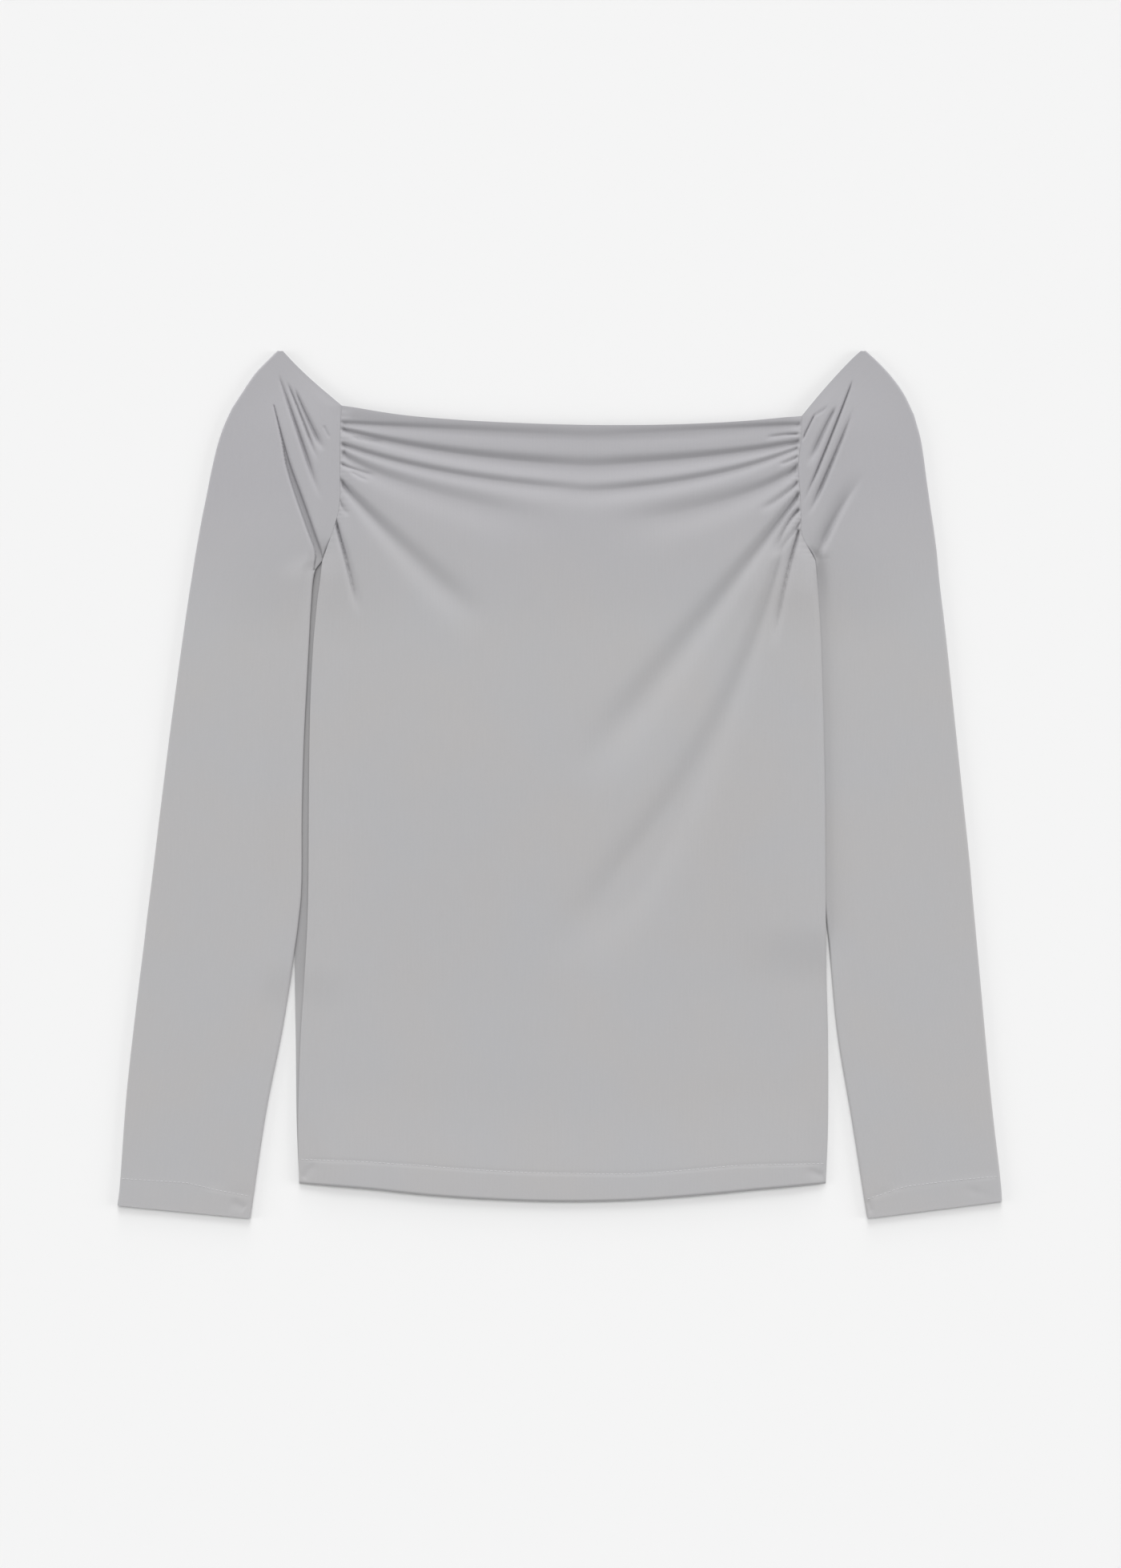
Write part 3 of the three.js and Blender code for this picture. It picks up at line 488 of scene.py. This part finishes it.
def panel_rows(left_column):
    """Rows of a body panel from neck to hem: left and right ends, and how each row is shaped."""
    t = np.linspace(NECK, UNDERARM, ARMHOLE_ROWS, endpoint=False)
    down = (NECK - t) / (NECK - UNDERARM)
    seam_left = edge_points(LEFT_SLEEVE, "inner", t)
    seam_right = edge_points(RIGHT_SLEEVE, "inner", t)

    stations = np.linspace(0, len(SIDES["y"]) - 1, SIDE_STATIONS)
    heights = at(SIDES["y"], stations)
    y = [heights[:1]]
    for low, rows in SIDE_BANDS:
        y.append(np.linspace(y[-1][-1], low, rows + 1)[1:])
    side = np.interp(-np.concatenate(y), -heights, stations)
    side_y = at(SIDES["y"], side)
    side_left = np.stack([at(SIDES[left_column], side), side_y], axis=1)
    side_right = np.stack([at(SIDES["right"], side), side_y], axis=1)

    last = len(SIDES["y"]) - 1
    left = np.vstack([seam_left, side_left])
    right = np.vstack([seam_right, side_right])
    left[:, 0] += SEAM_GAP / 2
    right[:, 0] -= SEAM_GAP / 2
    no_seam = np.zeros(len(side))
    return {
        "left": left,
        "right": right,
        "neck": np.concatenate([(1 - down) ** NECK_BOW_FADE, no_seam]),
        "hem": np.concatenate([np.zeros(len(t)), smooth(side, last / 2, last)]),
        "sewn": np.concatenate([smooth(t, UNDERARM, UNDERARM + OPENING), no_seam]),
    }


def panel(name, rows, half_columns, neck_drop, hem_rise, height):
    """A body panel: a grid from side to side and from neck to hem, lifted to its height."""
    half = 0.5 * np.linspace(0, 1, half_columns) ** COLUMN_CROWDING
    share = np.concatenate([half, 1 - half[-2::-1]])[None, :]
    left, right = rows["left"][:, None, :], rows["right"][:, None, :]
    x = lerp(left[..., 0], right[..., 0], share)
    y = lerp(left[..., 1], right[..., 1], share)
    y = y - (1 + neck_drop / NECK_BOW.max()) * rows["neck"][:, None] * bow(NECK_BOW, share)
    y = y - (1 - hem_rise / HEM_BOW.max()) * rows["hem"][:, None] * bow(HEM_BOW, share)
    place = {
        "x": x,
        "y": y,
        "inward": np.minimum(x - left[..., 0], right[..., 0] - x),
        "rightward": right[..., 0] - x,
        "below_neck": y[:1] - y,
        "above_hem": y - y[-1:],
        "sewn": rows["sewn"][:, None],
        "share": share,
    }
    points = np.stack([x, y, height(place)], axis=-1)
    square = np.ones(x.shape, bool)
    square[1:-1, 1:-1] = False
    ids = np.arange(x.size).reshape(x.shape)
    return shell(name, points, points[..., :2], ids, square)


def puckers(y, inward):
    """The small gathers between the large ones, close to the armhole seam."""
    wave = y + PUCKER["wander"] * np.sin(2 * np.pi * y / PUCKER["wander_pitch"])
    reach = np.exp(-((inward / PUCKER["reach"]) ** 2)) * yoke(y)
    return PUCKER["height"] * np.sin(2 * np.pi * wave / PUCKER["pitch"]) * reach


def front_panel():
    """The gathered front, which stands on the back and on the sleeve on +X."""

    def height(p):
        inside = smooth(p["inward"], 0, SEAM_REACH)
        crown = NECK_CREST * (1 - smooth(p["below_neck"], 0, NECK_REACH)) * inside
        upper = yoke(p["y"])
        lower = LOWER_RISE * (1 - upper) * smooth(p["y"], *LOWER_HEIGHTS)
        lower = lower * smooth(p["inward"], 0, LOWER_REACH)
        fullness = upper * lerp(SEAM_RISE, YOKE_RISE, inside) + lower + crown
        hem_rise = HEM_RISE * (1 - smooth(p["above_hem"], 0, HEM_REACH))
        hem_rise = hem_rise * smooth(p["inward"], 0, HEM_SIDE)
        lift = tuck_rise(p["y"], p["rightward"], TUCK_FRONT_REACH) + hem_rise
        rolled = (LAYER_RISE - LEAST_RISE) * (1 - smooth(p["inward"], 0, SIDE_ROLL))
        rolled = rolled * (1 - p["sewn"]) * np.where(p["share"] < 0.5, LEFT_ROLL, 1)
        rolled = rolled * smooth(SIDES["y"][0] - p["y"], 0, ROLL_START)
        pinch = lerp(SEAM_RELIEF, 1, smooth(p["inward"], 0, SEAM_FOLD_REACH))
        folds = relief(FRONT_FOLDS, p["x"], p["y"]) * pinch
        crest = LEFT_CREST["rise"] * overlap(LAP, p["y"])
        crest = crest * (1 - smooth(p["x"], *LEFT_CREST["from_to"]))
        shaped = soft_floor(LAYER_RISE - rolled + fullness + crest + folds, LEAST_RISE)
        stitch_up = np.interp(p["share"], HEM_STITCH["share"], HEM_STITCH["up"])
        fine = puckers(p["y"], p["inward"]) + sewn_hem(p["above_hem"], stitch_up) * inside
        return CLOTH / 2 + lift + shaped + fine - turned_edge(p["above_hem"])

    return panel("front_panel_cloth", panel_rows("front_left"), FRONT_HALF_COLUMNS, 0, 0, height)


def back_panel():
    """The plain back, which rests on the surface but for its soft creases."""
    rows = {name: column[::BACK_ROW_SHARE] for name, column in panel_rows("back_left").items()}

    def height(p):
        edge = smooth(p["inward"], *BACK_FOLD_START)
        ends = smooth(np.minimum(p["below_neck"], p["above_hem"]), 0, SEAM_REACH)
        creases = np.maximum(-relief(BACK_FOLDS, p["x"], p["y"]), 0) * edge * ends
        return CLOTH / 2 + tuck_rise(p["y"], p["rightward"], TUCK_BACK_REACH) + creases

    return panel("back_panel_cloth", rows, BACK_HALF_COLUMNS, NECK_BACK_DROP, HEM_BACK_RISE, height)


def sleeve_sections(table, folds, side, t, cuff_up, cuff_stitch):
    """Points of a sleeve, row by row: over the top from the inner edge, and back underneath.

    The side is -1 for the sleeve on -X and 1 for the one on +X.
    """
    outer = edge_points(table, "outer", t)
    inner = edge_points(table, "inner", t)
    inner[:, 0] += np.where(t >= UNDERARM, side * SEAM_GAP / 2, 0)
    width = np.linalg.norm(inner - outer, axis=1)[:, None]
    across = (inner - outer) / width
    opened = smooth(t, UNDERARM, UNDERARM + OPENING)[:, None]
    under_body = overlap(TUCK, inner[:, 1:]) * (1 - opened) * (side > 0)
    inner_radius = lerp(FOLD_RADIUS, TUCK_RADIUS, under_body)
    outer_start = CLOTH / 2 + FOLD_RADIUS
    peak_y = table["outer_y"][-1]

    def plan(distance):
        return [outer[:, k : k + 1] + across[:, k : k + 1] * distance for k in range(2)]

    def under(distance):
        lapped = lap_rise(plan(distance)[1], width - distance) * (1 - opened) * (side < 0)
        return CLOTH / 2 + lapped

    def over(distance):
        x, y = plan(distance)
        inward = width - distance
        rise = 2 * lerp(inner_radius, FOLD_RADIUS, smooth(inward, 0, TUCK_BACK_REACH))
        middle = smooth(distance, outer_start, outer_start + OUTER_REACH)
        free = smooth(inward, 0, SEAM_REACH)
        head = yoke(y) * smooth(peak_y - y, 0, PEAK_REACH) * middle
        fullness = head * lerp(SEAM_RISE * opened, HEAD_RISE, free)
        near_seam = smooth(inward, 0, SEAM_FOLD_REACH)
        sunk = deep_fold(x, y) if side < 0 else 0
        shaped = rise + fullness + relief(folds, x, y) * middle * near_seam - sunk
        share = distance / width if side < 0 else 1 - distance / width
        stitch_up = np.interp(share, cuff_stitch["share"], cuff_stitch["up"])
        hem = sewn_hem(cuff_up[:, None], stitch_up)
        hem = hem * smooth(np.minimum(distance, inward), 0, CUFF_START)
        return under(distance) + soft_floor(shaped, LEAST_RISE) + hem

    bend_end = np.maximum(width - CLOTH / 2 - inner_radius, outer_start)
    bend_radius = np.minimum((over(bend_end) - under(bend_end)) / 2, inner_radius)
    bend_end = np.maximum(width - CLOTH / 2 - bend_radius, outer_start)
    edge_end = width - np.minimum(FOLD_RADIUS, width * NARROW_EDGE)
    inner_end = lerp(bend_end, edge_end, opened)
    flat = np.linspace(0, 1, BEND_STEPS + 1)[None, :]

    def bend(start, direction, layer):
        radius = (over(start) - under(start)) / 2
        distance = start + direction * np.minimum(radius, FOLD_RADIUS) * np.cos(flat * np.pi / 2)
        return distance, under(start) + radius * (1 + layer * np.sin(flat * np.pi / 2))

    def inner_edge(layer):
        bent, bent_z = bend(inner_end, 1, layer)
        free = lerp(width, inner_end, flat)
        free_z = over(free) if layer > 0 else under(free)
        return lerp(bent, free, opened), lerp(bent_z, free_z, opened)

    top_share = np.linspace(0, 1, SLEEVE_TOP_COLUMNS + 1)[None, 1:-1] ** SLEEVE_CROWDING
    low_share = np.linspace(1, 0, SLEEVE_UNDER_COLUMNS + 1)[None, 1:-1] ** SLEEVE_CROWDING
    top = lerp(inner_end, outer_start, top_share)
    low = lerp(inner_end, outer_start, low_share)
    start = np.full(width.shape, outer_start)
    stretches = [inner_edge(1), (top, over(top))]
    stretches += [[part[:, ::-1] for part in bend(start, -1, 1)]]
    stretches += [[part[:, 1:] for part in bend(start, -1, -1)]]
    stretches += [(low, under(low)), [part[:, ::-1] for part in inner_edge(-1)]]
    distance, z = [np.concatenate(parts, axis=1) for parts in zip(*stretches)]
    return np.stack([*plan(distance), z], axis=-1)


def sleeve(name, table, folds, side, cuff_stitch):
    """A flattened tube up to the underarm, and above it a folded piece open at seam and neck."""
    t = [np.zeros(1)]
    for start, end, rows in SLEEVE_BANDS:
        first, last = [table["row"].index(row) for row in (start, end)]
        t.append(np.linspace(first, last, rows + 1)[1:])
    t = np.concatenate(t)
    middle = (edge_points(table, "outer", t) + edge_points(table, "inner", t)) / 2
    along = np.concatenate([[0], np.cumsum(np.linalg.norm(np.diff(middle, axis=0), axis=1))])
    points = sleeve_sections(table, folds, side, t, along, cuff_stitch)
    steps = np.linalg.norm(np.diff(points, axis=1), axis=2)
    girth = np.concatenate([np.zeros((len(t), 1)), steps.cumsum(axis=1)], axis=1)
    height = along[:, None] + middle[0, 1]
    grain = np.stack([girth, np.broadcast_to(height, girth.shape)], axis=-1)
    ids = np.arange(girth.size).reshape(girth.shape)
    tube = t <= UNDERARM
    ids[tube, -1] = ids[tube, 0]
    square = np.zeros(ids.shape, bool)
    square[~tube, 0] = True
    square[~tube, -1] = True
    if side > 0:
        points, grain, ids, square = [grid[::-1] for grid in (points, grain, ids, square)]
    return shell(name, points, grain, ids, square)


def on_cloth(tree, x, y, from_above):
    """The point of a piece of cloth above or below a place, or None where it isn't."""
    side = 1 if from_above else -1
    hit = tree.ray_cast(Vector((x * MM, y * MM, side * PROBE_HEIGHT)), Vector((0, 0, -side)))[0]
    return None if hit is None else np.array(hit) / MM


def stitch(path, from_above):
    """One stitch: a thread that comes out of the cloth, lies on it and goes in again."""
    lift, sink, sides = STITCH_ARC["lift"], STITCH_ARC["sink"], STITCH["sides"]
    along = np.linspace(-1, 1, len(path))
    proud = lift - (lift + sink) * along ** STITCH_ARC["power"]
    centre = path.copy()
    centre[:, 2] += proud if from_above else STITCH["radius"] + lift - proud
    ahead = path[-1] - path[0]
    ahead /= np.linalg.norm(ahead)
    aside = np.cross([0, 0, 1], ahead)
    up = np.cross(ahead, aside)
    angle = 2 * np.pi * np.arange(sides) / sides
    ring = STITCH["radius"] * (np.cos(angle)[:, None] * aside + np.sin(angle)[:, None] * up)
    points = (centre[:, None] + ring).reshape(-1, 3)
    k, j = np.meshgrid(np.arange(len(path) - 1), np.arange(sides), indexing="ij")
    a, b = k * sides + j, k * sides + (j + 1) % sides
    return points, np.stack([a, b, b + sides, a + sides], axis=-1).reshape(-1, 4)


def stitches(name, cloth, start, end, dips, up, from_above):
    """A row of stitches across a piece, at its distances up from the edge between two corners."""
    tree = BVHTree.FromObject(cloth, bpy.context.evaluated_depsgraph_get())
    start, end = np.array(start, float), np.array(end, float)
    length = np.linalg.norm(end - start)
    ahead = (end - start) / length
    upward = np.array([-ahead[1], ahead[0]])

    def place(distance):
        share = distance / length
        dip = 0 if dips is None else bow(dips, share)
        rise = np.interp(share, up["share"], up["up"]) - dip
        return start + ahead * distance + upward * rise

    points, faces, count = [], [], 0
    last = length - FOLD_RADIUS - STITCH["length"]
    for first in np.arange(FOLD_RADIUS, last, STITCH["pitch"]):
        row = np.linspace(first, first + STITCH["length"], STITCH["points"])
        hits = [on_cloth(tree, *place(distance), from_above) for distance in row]
        if any(hit is None for hit in hits):
            continue
        new_points, new_faces = stitch(np.array(hits), from_above)
        points.append(new_points)
        faces.append(new_faces + count)
        count += len(new_points)
    mesh = bpy.data.meshes.new(name)
    mesh.from_pydata((np.vstack(points) * MM).tolist(), [], np.vstack(faces).tolist())
    mesh.polygons.foreach_set("use_smooth", [True] * len(mesh.polygons))
    piece = bpy.data.objects.new(name, mesh)
    bpy.context.scene.collection.objects.link(piece)
    return piece


# The look of the cloth: fabric greys as linear colours, and patterns on its grain
JERSEY_GREY = (0.400, 0.399, 0.409)
JERSEY_WARM = (0.406, 0.399, 0.402)
MOTTLE = {"scale": 0.012, "detail": 3.0, "range": (0.35, 0.65)}  # patches of the warmer grey
PAINTED_SHADE_GREY = (0.376, 0.371, 0.388)  # painted shade: a darker, slightly bluer grey where it is gathered
PAINTED_SHADE_HEIGHTS = (110, 215)  # between which that painted shade comes in
WALE = 0.72  # width of one column of knit stitches
COURSE = 0.55  # height of one row of them
KNIT_SLANT = 0.35  # how far a stitch's legs rise, in rows
KNIT_RIBS = 0.3  # height of the rows beside the columns
KNIT_BUMP = {"depth": 0.035, "strength": 0.6}
FUZZ = {"size": 1.6, "detail": 3.0}
FUZZ_BUMP = {"depth": 0.05, "strength": 0.5}
STREAK = {"scale": (0.9, 0.05, 1.0), "detail": 2.0}  # long and thin, down the cloth
FIBRE_RANGE = (0.3, 0.7)  # what fuzz and streaks reach together
FIBRE_TONES = (0.985, 1.015)  # and how far they darken and lighten the grey
JERSEY_SURFACE = {
    "Roughness": 0.82,
    "Specular IOR Level": 0.25,
    "Sheen Weight": 0.12,
    "Sheen Roughness": 0.45,
}
THREAD_GREY = (0.56, 0.56, 0.57)
THREAD_TWIST = {"Scale": 1400.0, "Distortion": 1.0}
THREAD_TONES = (0.94, 1.04)
THREAD_ROUGHNESS = 0.6
MIX_SHARE, MIX_FIRST, MIX_SECOND, MIX_RESULT = 0, 6, 7, 2  # sockets of a mix of two colours


class Nodes:
    """A material's nodes, made and joined in one call each."""

    def __init__(self, name):
        self.material = bpy.data.materials.new(name)
        self.material.use_nodes = True
        self.tree = self.material.node_tree
        self.shader = self.tree.nodes["Principled BSDF"]

    def add(self, kind, inputs=(), **settings):
        node = self.tree.nodes.new(kind)
        for key, value in settings.items():
            setattr(node, key, value)
        for socket, value in dict(inputs).items():
            self.put(node, socket, value)
        return node

    def put(self, node, socket, value):
        if isinstance(value, bpy.types.NodeSocket):
            self.tree.links.new(value, node.inputs[socket])
        else:
            node.inputs[socket].default_value = value

    def math(self, operation, a, b=0.0):
        return self.add("ShaderNodeMath", {0: a, 1: b}, operation=operation).outputs[0]

    def noise(self, place, scale, detail):
        inputs = {"Vector": place, "Scale": scale, "Detail": detail}
        return self.add("ShaderNodeTexNoise", inputs).outputs[0]

    def ranged(self, value, low, high, to_low=0.0, to_high=1.0):
        """A value whose range from low to high becomes another range, and that stays in it."""
        inputs = {"Value": value, "From Min": low, "From Max": high}
        inputs |= {"To Min": to_low, "To Max": to_high}
        return self.add("ShaderNodeMapRange", inputs).outputs[0]

    def mixed(self, share, first, second):
        """A colour between two others."""
        inputs = {MIX_SHARE: share, MIX_FIRST: first, MIX_SECOND: second}
        return self.add("ShaderNodeMix", inputs, data_type="RGBA").outputs[MIX_RESULT]

    def scaled(self, colour, factor):
        inputs = {0: colour, "Scale": factor}
        return self.add("ShaderNodeVectorMath", inputs, operation="SCALE").outputs[0]

    def bump(self, height, strength, depth, **below):
        """The normals of a relief, over those of another where one is given as Normal."""
        inputs = {"Strength": strength, "Distance": depth * MM, "Height": height, **below}
        return self.add("ShaderNodeBump", inputs).outputs[0]


def knit_height(nodes, u, v):
    """Height of a knit: columns of stitches whose two legs slant up towards each other."""
    column = nodes.math("MULTIPLY", u, math.pi / WALE)
    legs = nodes.math("ABSOLUTE", nodes.math("SINE", column))
    slant = nodes.math("MULTIPLY", legs, KNIT_SLANT)
    row = nodes.math("ADD", nodes.math("DIVIDE", v, COURSE), slant)
    ribs = nodes.math("SINE", nodes.math("MULTIPLY", row, 2 * math.pi))
    return nodes.math("ADD", legs, nodes.math("MULTIPLY", ribs, KNIT_RIBS))


def jersey():
    """Fine knit in two greys, with painted shade: a darker grey where it is gathered."""
    nodes = Nodes("jersey")
    grain = nodes.add("ShaderNodeUVMap", uv_map="grain").outputs[0]
    split = nodes.add("ShaderNodeSeparateXYZ", {0: grain})
    u, v = split.outputs[0], split.outputs[1]
    mottle = nodes.noise(grain, MOTTLE["scale"], MOTTLE["detail"])
    fuzz = nodes.noise(grain, 1 / FUZZ["size"], FUZZ["detail"])
    stretched = nodes.add("ShaderNodeMapping", {"Vector": grain, "Scale": STREAK["scale"]})
    streak = nodes.noise(stretched.outputs[0], 1.0, STREAK["detail"])

    warmth = nodes.ranged(mottle, *MOTTLE["range"])
    tint = nodes.mixed(warmth, (*JERSEY_GREY, 1), (*JERSEY_WARM, 1))
    # painted shade: the grey darkens up the grain towards the gathered upper part
    painted_shade = nodes.ranged(v, *PAINTED_SHADE_HEIGHTS)
    body = nodes.mixed(painted_shade, tint, (*PAINTED_SHADE_GREY, 1))
    halves = [nodes.math("MULTIPLY", part, 0.5) for part in (fuzz, streak)]
    tone = nodes.ranged(nodes.math("ADD", *halves), *FIBRE_RANGE, *FIBRE_TONES)
    nodes.put(nodes.shader, "Base Color", nodes.scaled(body, tone))

    fuzzy = nodes.bump(fuzz, **FUZZ_BUMP)
    knitted = nodes.bump(knit_height(nodes, u, v), **KNIT_BUMP, Normal=fuzzy)
    nodes.put(nodes.shader, "Normal", knitted)
    for socket, value in JERSEY_SURFACE.items():
        nodes.put(nodes.shader, socket, value)
    return nodes.material


def thread():
    """Twisted sewing thread."""
    nodes = Nodes("thread")
    twist = nodes.add("ShaderNodeTexWave", THREAD_TWIST, bands_direction="DIAGONAL")
    tone = nodes.ranged(twist.outputs[1], 0.0, 1.0, *THREAD_TONES)
    nodes.put(nodes.shader, "Base Color", nodes.scaled(THREAD_GREY, tone))
    nodes.put(nodes.shader, "Roughness", THREAD_ROUGHNESS)
    return nodes.material


# The studio
FLOOR_WHITE = 0.8
FLOOR_SIZE = 12  # metres
PHOTO_HEIGHT = 1.0970  # metres of the surface that the photo's height shows
CAMERA_HEIGHT = 3.0
SENSOR = 36.0  # its width, in the camera's own millimetres
WHITE_LEVEL = 1.1415  # light on the surface, in white's own radiance
SKY_SHARE = 0.38
SUNS = [  # share of the light, direction in plan, degrees from straight above, and spread
    {"name": "key", "share": 0.26, "plan": (0.0, 1.0), "lean": 22, "spread": 26},
    {"name": "front", "share": 0.17, "plan": (0.0, 1.0), "lean": 60, "spread": 26},
    {"name": "right", "share": 0.08, "plan": (1.0, 0.0), "lean": 74, "spread": 24},
    {"name": "left", "share": 0.07, "plan": (-1.0, 0.0), "lean": 74, "spread": 24},
    {"name": "low", "share": 0.04, "plan": (0.0, 1.0), "lean": 80, "spread": 16},
]


def table_top():
    nodes = Nodes("table_top")
    nodes.put(nodes.shader, "Base Color", (FLOOR_WHITE, FLOOR_WHITE, FLOOR_WHITE, 1))
    nodes.put(nodes.shader, "Roughness", 1.0)
    nodes.put(nodes.shader, "Specular IOR Level", 0.0)
    return nodes.material


def studio(target):
    """A pale surface under soft light, seen from straight above."""
    scene = bpy.context.scene
    scene.view_settings.view_transform = "Standard"
    bpy.ops.mesh.primitive_plane_add(size=FLOOR_SIZE, location=(0, 0, 0))
    floor = bpy.context.object
    floor.name = "table_surface"
    floor.data.materials.append(table_top())

    camera = bpy.data.cameras.new("camera")
    camera.sensor_width = SENSOR
    camera.lens = SENSOR * CAMERA_HEIGHT / PHOTO_HEIGHT
    view = bpy.data.objects.new("camera", camera)
    view.location = (target[0], target[1], CAMERA_HEIGHT)
    scene.collection.objects.link(view)
    scene.camera = view

    world = bpy.data.worlds.new("studio")
    world.use_nodes = True
    background = world.node_tree.nodes["Background"].inputs
    background["Strength"].default_value = SKY_SHARE * WHITE_LEVEL
    background["Color"].default_value = (1, 1, 1, 1)
    scene.world = world

    for sun in SUNS:
        lean = math.radians(sun["lean"])
        light = bpy.data.lights.new(sun["name"], "SUN")
        light.energy = sun["share"] * WHITE_LEVEL * math.pi / math.cos(lean)
        light.angle = math.radians(sun["spread"])
        lamp = bpy.data.objects.new(sun["name"], light)
        plan = Vector(sun["plan"]).normalized() * math.sin(lean)
        lamp.rotation_euler = Vector((*plan, math.cos(lean))).to_track_quat("Z", "Y").to_euler()
        scene.collection.objects.link(lamp)


def corner(table, edge):
    """A corner of a sleeve's cuff."""
    return (table[f"{edge}_x"][0], table[f"{edge}_y"][0])


# The pieces, and what each stands for
fronts = front_panel()
backs = back_panel()
lefts = sleeve("sleeve_left_cloth", LEFT_SLEEVE, LEFT_SLEEVE_FOLDS, -1, LEFT_CUFF_STITCH)
rights = sleeve("sleeve_right_cloth", RIGHT_SLEEVE, RIGHT_SLEEVE_FOLDS, 1, RIGHT_CUFF_STITCH)
cloths = {"front_panel": fronts, "back_panel": backs, "sleeve_left": lefts, "sleeve_right": rights}

hem_left = (SIDES["front_left"][-1], SIDES["y"][-1])
hem_right = (SIDES["right"][-1], SIDES["y"][-1])
left_cuff = (corner(LEFT_SLEEVE, "outer"), corner(LEFT_SLEEVE, "inner"))
right_cuff = (corner(RIGHT_SLEEVE, "inner"), corner(RIGHT_SLEEVE, "outer"))
SEWN_ROWS = [
    ("hem_stitches_front", fronts, hem_left, hem_right, HEM_BOW, HEM_STITCH, True),
    ("hem_stitches_back", backs, hem_left, hem_right, HEM_BOW, HEM_STITCH, False),
    ("cuff_stitches_left", lefts, *left_cuff, None, LEFT_CUFF_STITCH, True),
    ("cuff_stitches_left_under", lefts, *left_cuff, None, LEFT_CUFF_STITCH, False),
    ("cuff_stitches_right", rights, *right_cuff, None, RIGHT_CUFF_STITCH, True),
    ("cuff_stitches_right_under", rights, *right_cuff, None, RIGHT_CUFF_STITCH, False),
]
seams = [(stitches(name, cloth, *course), cloth) for name, cloth, *course in SEWN_ROWS]

# The whole is moved so that it lies where the frame's nodes do.
cad_middle = (cad_box[0] + cad_box[1]) / 2
corners = np.array([v.co for piece in cloths.values() for v in piece.data.vertices])
drawn_middle = (corners.min(axis=0) + corners.max(axis=0)) / 2
shift = Vector((cad_middle.x - drawn_middle[0], cad_middle.y - drawn_middle[1], 0))
cloth_look, thread_look = jersey(), thread()
for node, piece in cloths.items():
    piece.data.transform(Matrix.Translation(shift))
    piece.data.materials.append(cloth_look)
    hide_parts(node)
for piece, _ in seams:
    piece.data.transform(Matrix.Translation(shift))
    piece.data.materials.append(thread_look)
for piece in [*cloths.values(), *[piece for piece, _ in seams]]:
    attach(piece, "root")

studio(shift)
